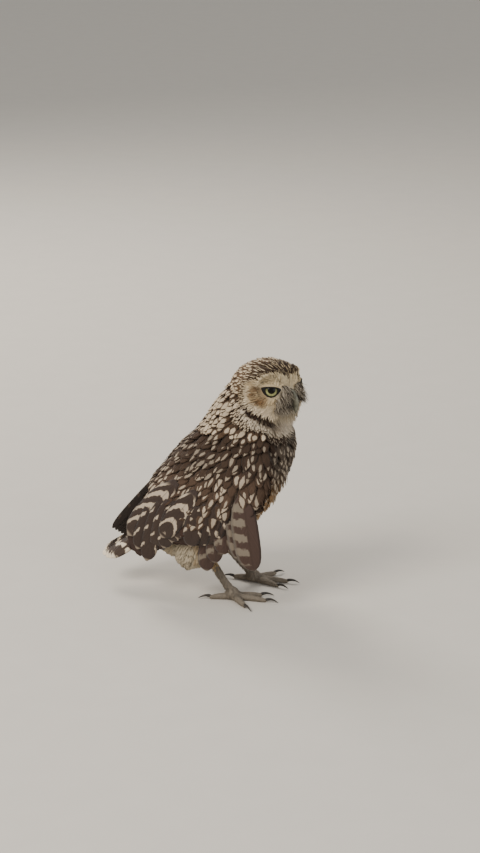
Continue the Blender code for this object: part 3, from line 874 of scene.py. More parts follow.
class Feathers:
    """Rows of feathers, gathered as arrays and made into one mesh for each piece."""

    def __init__(self):
        self.blocks = []
        self.quads = []
        self.caps = []
        self.count = 0

    def add(self, spines, sides, ups, widths, camber, uv_across, uv_along, extras, webs=(1.0, 1.0)):
        """Closed vanes with a bowed top and a flat underside.

        spines is (n, rings, 3), sides and ups are unit vectors there, widths is (n, rings), uv_across is
        the places across the vane from -1 to 1. extras maps attribute names to (n, 4) values. webs
        is how broad the vane is on either side of its shaft.
        """
        count, rings = spines.shape[:2]
        wide = len(uv_across)
        per = rings * wide
        across = np.array(uv_across)[None, None, :, None]
        reach = np.where(across < 0, webs[0], webs[1]) * across
        points = spines[:, :, None] + sides[:, :, None] * widths[:, :, None, None] * reach
        points = points + ups[:, :, None] * camber[:, :, None, None] * (1 - across**2)
        beside, along = np.broadcast_arrays((across[..., 0] + 1) / 2, np.array(uv_along)[None, :, None])
        place = np.tile(np.stack([beside.ravel(), along.ravel()], 1), (count, 1))
        starts = self.count + np.arange(count)[:, None, None] * per
        steps = np.arange(rings - 1)[:, None] * wide
        here, beyond = np.arange(wide), (np.arange(wide) + 1) % wide
        ring = np.stack([steps + here, steps + beyond, steps + wide + beyond, steps + wide + here], -1)
        self.quads.append((ring.reshape(-1, 4)[None] + starts).reshape(-1, 4))
        self.caps += [here[::-1] + starts[:, 0], here + per - wide + starts[:, 0]]
        block = {"co": points.reshape(-1, 3), "uv": place}
        for name, values in extras.items():
            block[name] = np.repeat(values, per, axis=0)
        self.blocks.append(block)
        self.count += count * per

    def gather(self, key):
        return np.concatenate([block[key] for block in self.blocks])

    def make(self, name, material):
        """One mesh object with the vane map, the OFBake map and the attributes."""
        mesh = bpy.data.meshes.new(name)
        mesh.vertices.add(self.count)
        mesh.vertices.foreach_set("co", self.gather("co").astype(np.float32).ravel())
        faces = self.quads + self.caps
        loops = np.concatenate([face.ravel() for face in faces])
        totals = np.concatenate([np.full(len(face), face.shape[1]) for face in faces])
        starts = np.concatenate([[0], np.cumsum(totals)[:-1]])
        mesh.loops.add(len(loops))
        mesh.loops.foreach_set("vertex_index", loops.astype(np.int32))
        mesh.polygons.add(len(totals))
        mesh.polygons.foreach_set("loop_start", starts.astype(np.int32))
        mesh.update(calc_edges=True)
        vane = self.gather("uv")
        bake = self.gather("root")[:, :2] + (vane - 0.5) * bpy.context.scene.owl_plumage.bake_patch
        for layer_name, values in (("vane", vane), ("OFBake", bake)):
            layer = mesh.uv_layers.new(name=layer_name)
            layer.uv.foreach_set("vector", values[loops].astype(np.float32).ravel())
        for key in self.blocks[0]:
            if key not in ("co", "uv", "root"):
                add_colours(mesh, key, self.gather(key))
        mesh.validate()
        mesh.shade_smooth()
        mesh.materials.append(material)
        made = link(name, mesh)
        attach(made, BODY)
        return made


# Kinds of contour feather: spacing, length, half width, and how far the tip lifts, in metres
COAT_KINDS = {
    "face": (0.00110, 0.0046, 0.00062, 0.00040),
    "brow": (0.00120, 0.0050, 0.00080, 0.00040),
    "lore": (0.00110, 0.0055, 0.00045, 0.00080),
    "ruff": (0.0014, 0.0050, 0.0010, 0.0003),
    "crown": (0.0021, 0.0095, 0.0014, 0.0003),
    "nape": (0.0029, 0.0098, 0.0024, 0.0006),
    "neck": (0.0036, 0.0125, 0.0034, 0.0004),
    "mantle": (0.0040, 0.0160, 0.0036, 0.0002),
    "covert": (0.0041, 0.0165, 0.0038, 0.0002),
    "greater": (0.0050, 0.0200, 0.0046, 0.0003),
    "breast": (0.0034, 0.0140, 0.0030, 0.0022),
    "belly": (0.0032, 0.0135, 0.0028, 0.0010),
    "vent": (0.0016, 0.0170, 0.0014, 0.0010),
    "thigh": (0.0017, 0.0095, 0.0011, 0.0009),
    "shank": (0.0012, 0.0052, 0.0005, 0.0009),
}
KIND_NAMES = tuple(COAT_KINDS)
FLUFFY = ("vent", "thigh", "shank", "belly")

# Under this line of the wing's side, in the body's own frame, the flight feathers lie bare
COVERT_EDGE_X = (
    -0.0950, -0.0763, -0.0610, -0.0510, -0.0430, -0.0400, -0.0385, -0.0330, -0.0240, -0.0170, -0.0065,
    -0.0010, 0.0085, 0.0300,
)
COVERT_EDGE_Z = (
    0.0860, 0.0870, 0.0890, 0.0880, 0.0820, 0.0740, 0.0640, 0.0690, 0.0745, 0.0805, 0.0860,
    0.0920, 0.0985, 0.1020,
)

# The coverts end this far over that line, and the greater coverts grow in a band over their end
COVERT_END = 0.010
GREATER_BAND = 0.010

# The flight feathers lie bare behind this place in the body's own frame
BARE_BEHIND = 0.010

# The shoulders over this height wear the neck's feathers
SHOULDER_TOP = 0.145

# How far the ruff's small feathers reach down and up from the collar stripe, and up on the head, in degrees
RUFF_BELOW = 11
RUFF_ABOVE = 26
RUFF_ON_HEAD = 8


def kind_numbers(*names):
    return [KIND_NAMES.index(name) for name in names]


def feather_kinds(lie):
    """The kind of feather that grows on each face, as its index, or -1 for none."""
    region = lie.region
    looks = Workshop.looks
    azimuth, elevation, height, own_x = looks.azimuth, looks.elevation, looks.height, looks.own_x
    kinds = np.full(len(region), -1)

    def put(where, name):
        kinds[where] = KIND_NAMES.index(name)

    trunk = region == "trunk"
    thigh = region == "thigh"
    winged = (region == "wing_left") | (region == "wing_right")
    headed = (region == "head") | (region == "eye")
    put(region == "neck", "neck")
    put(trunk, "mantle")
    put(trunk & (body_share(lie.centres) > 0.60), "breast")
    put(trunk & (height < 0.085), "belly")
    put(trunk & (height < 0.060) & (own_x < -0.020), "vent")
    put(winged, "covert")
    put(thigh, "thigh")
    put(thigh & (own_x < -0.030), "vent")
    put((region == "foot") & (height > 0.006), "shank")
    put(headed, "crown")
    put(headed & (azimuth > FACE_REAR + 2), "nape")
    face = headed & (azimuth < FACE_REAR + 2)
    put(face & (elevation < looks.brow_top), "brow")
    put(face & (elevation < looks.brow_bottom), "face")
    put(face & (azimuth < 30) & (elevation < 14) & (elevation > -40), "lore")
    near_neck = lie.distances["neck"] - lie.distances["head"] < 0.002
    put(headed & near_neck & (azimuth > 80), "nape")
    kinds[(lie.distances["bill"] < 0.0009) | (region == "bill")] = -1
    put(winged & (looks.over_edge < COVERT_END + GREATER_BAND), "greater")
    kinds[winged & (looks.over_edge < COVERT_END) & (own_x < BARE_BEHIND)] = -1
    rise = elevation - looks.collar
    below = (rise < RUFF_ABOVE) & (rise > -RUFF_BELOW) & (azimuth < 98) & (looks.radius < HEAD_ENDS[1])
    put(below & ~winged & ~headed, "ruff")
    put(below & (rise < RUFF_ON_HEAD) & headed, "ruff")
    put(winged & (height > SHOULDER_TOP), "neck")
    kinds[outside_rims(lie.centres) < -0.1] = -1
    return kinds


# Feathers that stand closer than this are spread over a fine grid, and the others over a coarse one
FINE_SPACING = 0.0028
COARSE_SPACING = 0.0050

# How many places are tried for each one that the spacing could hold
TRIES = 5.0


def is_clear(place, room, key, grid, places):
    """Whether no place in the grid's cells around this one is nearer than its room."""
    for step in itertools.product((-1, 0, 1), repeat=3):
        for other in grid.get((key[0] + step[0], key[1] + step[1], key[2] + step[2]), ()):
            gap = places[other] - place
            if gap[0] * gap[0] + gap[1] * gap[1] + gap[2] * gap[2] < room * room:
                return False
    return True


def scatter(lie, kinds, seed):
    """Roots spread evenly over the skin: their places and faces, spaced as their kind asks."""
    rng = np.random.default_rng(seed)
    spacing = np.array([COAT_KINDS[name][0] for name in KIND_NAMES])
    face_spacing = np.where(kinds >= 0, spacing[kinds], 1.0)
    tries = np.where(kinds >= 0, lie.areas / face_spacing**2 * TRIES, 0.0)
    whole = np.floor(tries + rng.random(len(tries))).astype(int)
    faces = np.repeat(np.arange(len(tries)), whole)
    rng.shuffle(faces)
    first, second, third, fourth = (lie.points[lie.corners[faces, i]] for i in range(4))
    a, b = rng.random((2, len(faces), 1))
    places = lerp(lerp(first, second, a), lerp(fourth, third, a), b)
    reach = face_spacing[faces]
    fine = reach < FINE_SPACING
    kept = []
    for chosen, cell in ((np.nonzero(fine)[0], FINE_SPACING), (np.nonzero(~fine)[0], COARSE_SPACING)):
        grid = {}
        keys = np.floor(places[chosen] / cell).astype(int)
        for index, key in zip(chosen, map(tuple, keys)):
            if is_clear(places[index], reach[index], key, grid, places):
                grid.setdefault(key, []).append(index)
                kept.append(index)
    return places[kept], faces[kept]


VANE_ALONG = (0.0, 0.22, 0.46, 0.68, 0.84, 0.95, 1.0)
VANE_WIDTHS = (0.22, 0.72, 0.98, 0.98, 0.76, 0.44, 0.14)
VANE_ACROSS = (-1.0, -0.5, 0.0, 0.5, 1.0)


def march(lie, places, faces, lengths, along, turn):
    """Spines laid on the surface along the flow: places, normals, headings and faces at each ring."""
    spine, normals, headings, passed = [places], [lie.normals[faces]], [], [faces]
    cos, sin = np.cos(turn)[:, None], np.sin(turn)[:, None]
    here, face = places, faces
    for before, after in zip(along, along[1:]):
        flow = lie.flow[face]
        normal = lie.normals[face]
        heading = flow * cos + np.cross(normal, flow) * sin
        headings.append(heading)
        here = here + heading * (lengths * (after - before))[:, None]
        here, face = lie.settle(here)
        spine.append(here)
        normals.append(lie.normals[face])
        passed.append(face)
    headings.append(headings[-1])
    return np.stack(spine, 1), np.stack(normals, 1), np.stack(headings, 1), np.stack(passed, 1)


# Where feathers stand out at the brows and chin: middle and spread of azimuth, of elevation, and how far
TUFTS = ((30.0, 15.0, 33.0, 9.0, 0.0026), (26.0, 11.0, -38.0, 10.0, 0.0030))
TUFT_RADIUS = 0.036
TUFT_GROWTH = 0.4

# The ring of a feather at which its colours are read, as that part shows
SHOWN_RING = 4


def vane_extras(faces, ground, mark, strength, chances, **plans):
    """The attributes of feathers: their roots, colours with a chance and a strength, and other plans."""
    return {
        "root": Workshop.bake[faces],
        "ground": np.concatenate([ground, chances], 1),
        "mark": np.concatenate([mark, strength], 1),
        **plans,
    }


def grow(lie, places, faces, kinds, seed):
    """The contour feathers on some roots, as arrays for a mesh."""
    rng = np.random.default_rng(seed)
    count = len(places)
    table = np.array([COAT_KINDS[name] for name in KIND_NAMES])[kinds]
    lengths = table[:, 1] * rng.uniform(0.85, 1.15, count)
    half = table[:, 2] * rng.uniform(0.88, 1.12, count)
    lift = table[:, 3] * rng.uniform(0.2, 1.6, count)
    looks = Workshop.looks
    for azimuth, azimuth_spread, elevation, elevation_spread, out in TUFTS:
        tufted = bell(looks.azimuth[faces], azimuth, azimuth_spread)
        tufted *= bell(looks.elevation[faces], elevation, elevation_spread)
        tufted *= looks.radius[faces] < TUFT_RADIUS
        lift += out * tufted
        lengths *= 1 + TUFT_GROWTH * tufted
    depth = Workshop.depth[faces]
    turn = rng.normal(0.0, 0.15, count)
    along = np.array(VANE_ALONG)
    spine, normals, headings, passed = march(lie, places, faces, lengths, along, turn)
    height = -depth[:, None] * (1 - along[None]) ** 1.3 + lift[:, None] * along[None] ** 2
    spine = spine + normals * (height - 0.0004)[..., None]
    sides = unit(np.cross(headings, normals))
    widths = half[:, None] * np.array(VANE_WIDTHS)[None] * rng.uniform(0.86, 1.14, (count, len(along)))
    shown = np.where(np.isin(kinds, kind_numbers(*FLUFFY)), faces, passed[:, SHOWN_RING])
    ground = looks.ground[shown] * rng.uniform(0.82, 1.18, (count, 1))
    mark = looks.mark[shown] * rng.uniform(0.74, 1.08, (count, 1))
    spot = looks.spot[shown] * rng.uniform(0.82, 1.2, (count, 4))
    spot[:, 2:] *= rng.uniform(0.68, 1.15, (count, 1))
    spot[:, 0] *= rng.choice((-1.0, 1.0), count)
    strength = looks.strength[shown] * (rng.random(count) < looks.often[shown])
    extras = vane_extras(faces, ground, mark, strength[:, None], rng.random((count, 1)), spot=spot)
    return spine, sides, normals, widths, widths * 0.10, extras


BRISTLES = 820
BRISTLE_ALONG = (0.0, 0.3, 0.6, 0.85, 1.0)
BRISTLE_ACROSS = (-1.0, 0.0, 1.0)
BRISTLE_LENGTHS = (0.0042, 0.0080)
BRISTLE_HALF_WIDTH = 0.00026

# The spot plan that bristles carry, though their marks have no strength
BRISTLE_SPOT = (0.0, 0.7, 0.3, 0.3)

# Beside the front corner of each eye the bristles stand thicker: how far forward and up that is
CORNER_FORWARD = (8.5, 13.0)
CORNER_UP = (-4.0, 4.5)

# The head's left side has bristles from this far out over the first elevation and, from its middle,
# under the second one. Beyond the other distance most of them are dark, both as the bristles' own colour and
# as painted shade over the left eye's socket.
LEFT_OUT = 0.004
LEFT_ELEVATIONS = (-6, 14)
LEFT_DARK_OUT = 0.0065


def bristle_chances(lie):
    """How likely each face is to carry a bristle: the lores, and more at the eyes' front corners."""
    looks = Workshop.looks
    open_face = outside_rims(lie.centres) > 0.3
    zone = (looks.azimuth < 36) & (looks.elevation < 19) & (looks.elevation > -23)
    zone &= (lie.region == "head") & open_face
    beside = head.local(lie.centres)[:, 1]
    zone &= (beside < LEFT_OUT) | (looks.elevation > LEFT_ELEVATIONS[0])
    zone &= (beside < 0.0) | (looks.elevation < LEFT_ELEVATIONS[1])
    forward, up = head.eye_view(lie.centres)
    corner = (forward > CORNER_FORWARD[0]) & (forward < CORNER_FORWARD[1])
    corner &= (up > CORNER_UP[0]) & (up < CORNER_UP[1]) & open_face
    chances = np.where(zone, lie.areas, 0.0) + np.where(corner, 2.0 * lie.areas, 0.0)
    return chances / chances.sum()


def grow_bristles(lie, seed):
    """Stiff bristles that spring from the lores, forward and down past the bill."""
    rng = np.random.default_rng(seed)
    looks = Workshop.looks
    chances = bristle_chances(lie)
    chosen = rng.choice(len(chances), BRISTLES, p=chances)
    places = lie.centres[chosen] + rng.uniform(-0.0005, 0.0005, (BRISTLES, 3))
    normals = lie.normals[chosen]
    forward, left, up = np.array(head.turn).T
    beside = head.local(places)[:, 1]
    outward = np.sign(beside)[:, None] * left
    start = unit(normals * 0.45 + forward * 0.75 - up * 0.20 + rng.normal(0, 0.16, (BRISTLES, 3)))
    bend = unit(-up * 0.8 - forward * 0.25 + outward * 0.15 + rng.normal(0, 0.2, (BRISTLES, 3)))
    low = fall(looks.elevation[chosen], -22, -8)
    lengths = rng.uniform(*BRISTLE_LENGTHS, BRISTLES) * (1 - 0.35 * low)
    along = np.array(BRISTLE_ALONG)
    run = lengths[:, None] * along[None]
    spine = places[:, None] + start[:, None] * run[..., None]
    spine = spine + bend[:, None] * (0.55 * run**2 / lengths[:, None])[..., None]
    headings = unit(np.gradient(spine, axis=1))
    sides = unit(np.cross(headings, normals[:, None]))
    ups = unit(np.cross(sides, headings))
    widths = BRISTLE_HALF_WIDTH * (1 - 0.85 * along**2)[None] * rng.uniform(0.8, 1.5, (BRISTLES, 1))
    dark, pale = looks.shade(("bark", "sage", 0.25)), looks.shade(("sage", "ivory", 0.45))
    # Far out on the left side few bristles are pale: their own dark colour plus painted shade over the left
    # eye's socket
    pale_share = np.where(beside > LEFT_DARK_OUT, 0.15, 0.42 + 0.4 * low)
    is_pale = (rng.random(BRISTLES) < pale_share)[:, None]
    ground = np.where(is_pale, pale, dark) * rng.uniform(0.8, 1.15, (BRISTLES, 1))
    spot = np.tile(BRISTLE_SPOT, (BRISTLES, 1))
    none = np.zeros((BRISTLES, 1))
    extras = vane_extras(chosen, ground, ground, none, rng.random((BRISTLES, 1)), spot=spot)
    return spine, sides, ups, widths, widths * 0.6, extras


# The pieces of the coat by their kinds of feather. What is left grows on the wings, a piece for each.
COAT_PIECES = {
    "coat_face": ("face", "brow", "lore"),
    "coat_crown": ("crown", "nape", "ruff"),
    "coat_neck": ("neck",),
    "coat_body": ("mantle", "breast", "belly"),
    "coat_under": ("vent", "thigh", "shank"),
}


class OWL_OT_make_coat(bpy.types.Operator):
    """Grow the contour feathers over the skin, in a few pieces"""

    bl_idname = "owl.make_coat"
    bl_label = "Make Coat"

    def execute(self, context):
        lie = Workshop.lie
        kinds = feather_kinds(lie)
        places, faces = scatter(lie, kinds, 11)
        root_kinds = kinds[faces]
        pieces = {name: np.isin(root_kinds, kind_numbers(*names)) for name, names in COAT_PIECES.items()}
        for word, _ in SIDES:
            pieces["coat_wing_" + word] = lie.region[faces] == "wing_" + word
        taken = np.zeros(len(faces), bool)
        material = contour_material()
        for number, (name, where) in enumerate(pieces.items()):
            where = where & ~taken
            taken |= where
            if not where.any():
                raise RuntimeError("no feathers grow on " + name)
            feathers = Feathers()
            grown = grow(lie, places[where], faces[where], root_kinds[where], 100 + number)
            feathers.add(*grown[:5], VANE_ACROSS, VANE_ALONG, grown[5])
            if name == "coat_face":
                grown = grow_bristles(lie, 51)
                feathers.add(*grown[:5], BRISTLE_ACROSS, BRISTLE_ALONG, grown[5])
            made = feathers.make(name, material)
        return {"FINISHED"}


FLIGHT_ALONG = (0.0, 0.08, 0.18, 0.30, 0.42, 0.54, 0.65, 0.75, 0.84, 0.91, 0.96, 0.99, 1.0)
FLIGHT_WIDTHS = (0.25, 0.55, 0.80, 0.93, 1.0, 1.0, 0.99, 0.96, 0.88, 0.74, 0.52, 0.26, 0.08)
FLIGHT_ACROSS = (-1.0, -0.72, -0.4, -0.06, 0.0, 0.06, 0.4, 0.72, 1.0)

# How a side feather's face turns towards the side and up, beside the surface's own way
SIDE_FACING = (0.0, 1.4, 0.1)


def side_spine(lie, row, side):
    """The spine and normals of a feather that is drawn on the body's side, as seen square from there."""
    root, tip = np.array(row["root"]), np.array(row["tip"])
    places, normals = [], []
    for share in FLIGHT_ALONG:
        flat = root + (tip - root) * share
        start = (flat[0] + AHEAD, side * 0.2, flat[1])
        place, normal, face, _ = lie.tree.ray_cast(start, (0.0, -side, 0.0), 0.2)
        if place is None or place.y * side < 0:
            step = places[-1] - places[-2]
            depth = places[-1][1] + 0.6 * step[1]
            normal = normals[-1]
        else:
            depth = place.y
            normal = unit(lie.normals[face] + np.array(SIDE_FACING) * (1, side, 1))
        places.append(np.array([flat[0] + AHEAD, depth, flat[1]]))
        normals.append(np.array(normal))
    return np.array(places), np.array(normals)


def lay_on_side(lie, rows, side):
    """Spines and normals of a row of feathers on the body's side, softened along their length."""
    found = [side_spine(lie, row, side) for row in rows]
    spine = np.stack([places for places, _ in found])
    normals = np.stack([normal for _, normal in found])
    for _ in range(4):
        normals[:, 1:-1] = unit(normals[:, :-2] + 2 * normals[:, 1:-1] + normals[:, 2:])
        spine[:, 1:-1] = (spine[:, :-2] + 2 * spine[:, 1:-1] + spine[:, 2:]) / 4
    heights = np.array([row["height"] for row in rows])
    return spine + normals * heights[:, None, None], normals


def vane_arrays(spine, normals, half_widths, bow=0.10):
    """The sides, upward directions, widths and bow that go with some spines."""
    headings = np.gradient(spine, axis=1)
    sides = unit(np.cross(headings, normals))
    ups = unit(np.cross(sides, headings))
    widths = np.array(half_widths)[:, None] * np.array(FLIGHT_WIDTHS)[None]
    return sides, ups, widths, widths * bow + 0.0001


def between(first, last, shares):
    """Places at shares of the way between two points of the body's own frame, in the solids' frame."""
    return lerp(np.array(first), np.array(last), shares[:, None]) + (AHEAD, 0.0, 0.0)


def straight_spines(roots, tips, facing, bow):
    """Straight spines from roots to tips, which bow out along the facing by this much halfway."""
    along = np.array(FLIGHT_ALONG)[None, :, None]
    return lerp(roots[:, None], tips[:, None], along) + facing * bow * np.sin(math.pi * along)


def flight_extras(lie, roots, ground, mark, bars, reach, rng, margin=0.0, phase_spread=0.25):
    """Attributes of flight feathers.

    bars is (number, share, curve, phase), and reach is (gap at the shaft, left web, right web, tip).
    """
    count = len(roots)
    _, faces = lie.settle(roots)
    ground = np.tile(ground, (count, 1)) * rng.uniform(0.9, 1.1, (count, 1))
    bar_plan = np.array(np.broadcast_to(np.array(bars, float), (count, 4)))
    bar_plan[:, 3] += rng.uniform(-phase_spread, phase_spread, count)
    bar_plan[:, 1] *= rng.uniform(0.9, 1.1, count)
    reach = np.array(np.broadcast_to(np.array(reach, float), (count, 4)))
    marks = np.tile(mark, (count, 1))
    margins = np.full((count, 1), margin)
    return vane_extras(faces, ground, marks, margins, rng.random((count, 1)), bars=bar_plan, reach=reach)


def wing_row(root_x, root_z, tip_x, tip_z, half, number, share, curve, gap, phase, height):
    """A long feather of the wing's side: root and tip in the body's own frame, breadth and bars."""
    return {
        "root": (root_x, root_z), "tip": (tip_x, tip_z), "half": half,
        "bars": (number, share, curve, phase), "gap": gap, "height": height,
    }


# The long feathers of each wing, from the undermost to the topmost
RIGHT_WING_ROWS = (
    wing_row(0.0020, 0.0950, -0.0110, 0.0600, 0.0070, 3.0, 0.26, -0.3, 0.50, 0.3, -0.0018),
    wing_row(-0.0060, 0.0930, -0.0190, 0.0585, 0.0078, 2.8, 0.24, -0.3, 0.50, 0.2, -0.0016),
    wing_row(-0.0130, 0.0920, -0.0250, 0.0535, 0.0082, 2.6, 0.22, -0.3, 0.55, 0.0, -0.0013),
    wing_row(-0.0230, 0.0920, -0.0312, 0.0490, 0.0084, 2.4, 0.22, -0.3, 0.55, 0.4, -0.0010),
    wing_row(-0.0300, 0.0900, -0.0385, 0.0505, 0.0080, 2.4, 0.22, -0.3, 0.60, 0.2, -0.0007),
    wing_row(-0.0400, 0.0880, -0.0500, 0.0570, 0.0072, 2.6, 0.26, -0.4, 0.45, 0.1, -0.0012),
    wing_row(-0.0450, 0.0900, -0.0555, 0.0525, 0.0076, 2.6, 0.24, -0.4, 0.50, 0.5, -0.0009),
    wing_row(-0.0510, 0.0900, -0.0632, 0.0450, 0.0080, 3.0, 0.22, -0.4, 0.58, 0.3, -0.0006),
    wing_row(-0.0580, 0.0900, -0.0705, 0.0380, 0.0082, 3.2, 0.22, -0.4, 0.58, 0.6, -0.0003),
    wing_row(-0.0650, 0.0880, -0.0798, 0.0300, 0.0082, 3.4, 0.22, -0.4, 0.60, 0.1, 0.0000),
    wing_row(-0.0690, 0.0890, -0.0880, 0.0400, 0.0084, 3.0, 0.26, -0.5, 0.50, 0.6, 0.0001),
    wing_row(-0.0320, 0.1020, -0.0640, 0.0560, 0.0092, 3.2, 0.34, -0.80, 0.0, 0.50, 0.0004),
    wing_row(-0.0500, 0.1060, -0.0970, 0.0500, 0.0116, 4.0, 0.40, -1.0, 0.0, 0.62, 0.0008),
)
LEFT_WING_ROWS = (
    wing_row(0.0000, 0.0950, -0.0120, 0.0680, 0.0070, 3.2, 0.30, -0.3, 0.40, 0.3, -0.0018),
    wing_row(-0.0060, 0.0930, -0.0210, 0.0650, 0.0076, 3.2, 0.28, -0.3, 0.45, 0.2, -0.0016),
    wing_row(-0.0150, 0.0920, -0.0300, 0.0610, 0.0080, 3.4, 0.28, -0.3, 0.45, 0.0, -0.0013),
    wing_row(-0.0240, 0.0920, -0.0400, 0.0580, 0.0080, 3.6, 0.28, -0.3, 0.50, 0.4, -0.0010),
    wing_row(-0.0330, 0.0900, -0.0490, 0.0560, 0.0080, 3.4, 0.28, -0.3, 0.50, 0.2, -0.0007),
    wing_row(-0.0420, 0.0900, -0.0580, 0.0540, 0.0078, 3.4, 0.30, -0.4, 0.40, 0.1, -0.0008),
    wing_row(-0.0490, 0.0920, -0.0680, 0.0520, 0.0080, 3.8, 0.28, -0.4, 0.45, 0.5, -0.0005),
    wing_row(-0.0560, 0.0920, -0.0780, 0.0500, 0.0080, 4.2, 0.28, -0.4, 0.50, 0.3, -0.0002),
    wing_row(-0.0600, 0.0860, -0.0990, 0.0425, 0.0078, 3.6, 0.24, -0.5, 0.55, 0.2, 0.0000),
    wing_row(-0.0640, 0.0880, -0.1090, 0.0390, 0.0078, 3.8, 0.24, -0.5, 0.55, 0.5, 0.0001),
    wing_row(-0.0690, 0.0890, -0.1170, 0.0400, 0.0070, 4.0, 0.24, -0.5, 0.55, 0.3, 0.0002),
    wing_row(-0.0620, 0.0920, -0.0880, 0.0500, 0.0080, 3.6, 0.28, -0.5, 0.45, 0.6, 0.0004),
    wing_row(-0.0320, 0.1020, -0.0720, 0.0600, 0.0092, 3.6, 0.32, -0.80, 0.0, 0.62, 0.0004),
    wing_row(-0.0500, 0.1060, -0.0970, 0.0580, 0.0105, 5.0, 0.44, -0.95, 0.0, 0.66, 0.0008),
)

# The folded left wing's long primaries: root and tip of the first and last, as they lie on its inner side
LEFT_PRIMARIES = (
    (-0.0660, 0.0075, 0.1060), (-0.1210, 0.0170, 0.0415),
    (-0.0640, 0.0125, 0.0900), (-0.1110, 0.0200, 0.0350), 5, 0.0042,
)
LEFT_PRIMARY_FACING = (0.05, -0.85, 0.10)

# The right wing's hanging primaries: top and tip of the first and last of each group, how many, half width,
# bars and reach
HANGING = (
    (
        (0.0078, -0.0470, 0.1030), (0.0176, -0.0482, 0.0366),
        (0.0000, -0.0450, 0.0980), (0.0040, -0.0452, 0.0470),
        3, 0.0112, (5.2, 0.50, 0.22, 0.48), (0.10, 0.0, 1.0, 0.12),
    ),
    (
        (-0.0050, -0.0415, 0.0860), (-0.0095, -0.0432, 0.0470),
        (-0.0170, -0.0410, 0.0800), (-0.0250, -0.0395, 0.0290),
        3, 0.0080, (2.6, 0.26, -0.2, 0.62), (0.22, 0.3, 1.0, 0.3),
    ),
)

HANGING_FACING = (0.12, -1.0, 0.10)

# Breadths of a hanging primary's outer and inner web, as shares of its half width
HANGING_WEBS = (0.80, 1.20)

TAIL_ROOT = (-0.0700, 0.0, 0.0630)
TAIL_LEFT_TIP = (-0.1290, 0.0130, 0.0265)
TAIL_RIGHT_TIP = (-0.1205, -0.0130, 0.0205)
TAIL_FEATHERS = 12
TAIL_HALF_WIDTH = 0.0052

# The tail's outer feathers hang lower, in metres, and turn outwards, in radians, as on a roof
TAIL_DROP = 0.0020
TAIL_TILT = 0.75

# How far all of them lie over the line from root to tip, their bars and where those reach
TAIL_LIFT = 0.0014
TAIL_BARS = (5.2, 0.36, 0.0, 0.55)
TAIL_REACH = (0.22, 1, 1, 0.70)


def add_wing_rows(feathers, lie, rows, side, ground, mark, tip, rng):
    """Lays a wing's rows of long feathers."""
    spine, normals = lay_on_side(lie, rows, side)
    sides, ups, widths, camber = vane_arrays(spine, normals, [row["half"] for row in rows], 0.035)
    bars = np.array([row["bars"] for row in rows])
    reach = np.array([(row["gap"], 1.0, 1.0, tip) for row in rows])
    extras = flight_extras(lie, spine[:, 0], ground, mark, bars, reach, rng, phase_spread=0.0)
    feathers.add(spine, sides, ups, widths, camber, FLIGHT_ACROSS, FLIGHT_ALONG, extras)


def add_hanging(feathers, lie, rng, group, facing, ground, mark, bars, reach, margin, webs, inwards):
    """Lays a group of straight long feathers side by side, the first one nearest to where they face."""
    top, tip, last_top, last_tip, count, half = group
    facing = unit(np.array(facing, float))
    shares = np.linspace(0, 1, count)
    behind = -facing * inwards * np.arange(count)[:, None]
    roots = between(top, last_top, shares) + behind
    tips = between(tip, last_tip, shares) + behind
    spine = straight_spines(roots, tips, facing, 0.001)
    normals = np.tile(facing, (count, len(FLIGHT_ALONG), 1))
    sides, ups, widths, camber = vane_arrays(spine, normals, np.full(count, half), 0.06)
    extras = flight_extras(lie, roots, ground, mark, bars, reach, rng, margin, 0.08)
    feathers.add(spine, sides, ups, widths, camber, FLIGHT_ACROSS, FLIGHT_ALONG, extras, webs)


class OWL_OT_make_wings(bpy.types.Operator):
    """Lay the long feathers of both wings and let down the right wing's primaries"""

    bl_idname = "owl.make_wings"
    bl_label = "Make Flight Feathers"

    def execute(self, context):
        lie = Workshop.lie
        rng = np.random.default_rng(21)
        shades = Workshop.looks.shades
        brown = shades["umber"] * 0.35 + shades["plum"] * 0.45
        for name, rows, side in (("flight_right", RIGHT_WING_ROWS, -1), ("flight_left", LEFT_WING_ROWS, 1)):
            feathers = Feathers()
            if side > 0:
                # The left wing's primaries are near-black: dark brown feathers, darkened further as painted
                # shade on their inner side
                dark = shades["bark"] * 0.45
                plan = (LEFT_PRIMARIES, LEFT_PRIMARY_FACING, dark, shades["umber"])
                looks = ((6.0, 0.3, 0.1, 0.5), (0.3, 0, 1, 0), 0.0, (1.0, 1.0), -0.0004)
                add_hanging(feathers, lie, rng, *plan, *looks)
            add_wing_rows(feathers, lie, rows, side, brown, shades["cream"], 0.25, rng)
            feathers.make(name, flight_material())
        self.hang_primaries(lie, rng, shades)
        return {"FINISHED"}

    def hang_primaries(self, lie, rng, shades):
        feathers = Feathers()
        for number, (*group, bars, reach) in enumerate(HANGING):
            # The bars' cream is dimmed to 0.4 as painted shade on these let-down primaries
            brown, pale = shades["plum"] * 1.25, shades["cream"] * 0.4
            plan = (group, HANGING_FACING, brown, pale, bars, reach)
            add_hanging(feathers, lie, rng, *plan, 0.6 * (1 - number), HANGING_WEBS, 0.0018)
        made = feathers.make("primaries_right", flight_material())
        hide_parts(*[node for node in frame["nodes"] if node.startswith("primary_right_")])


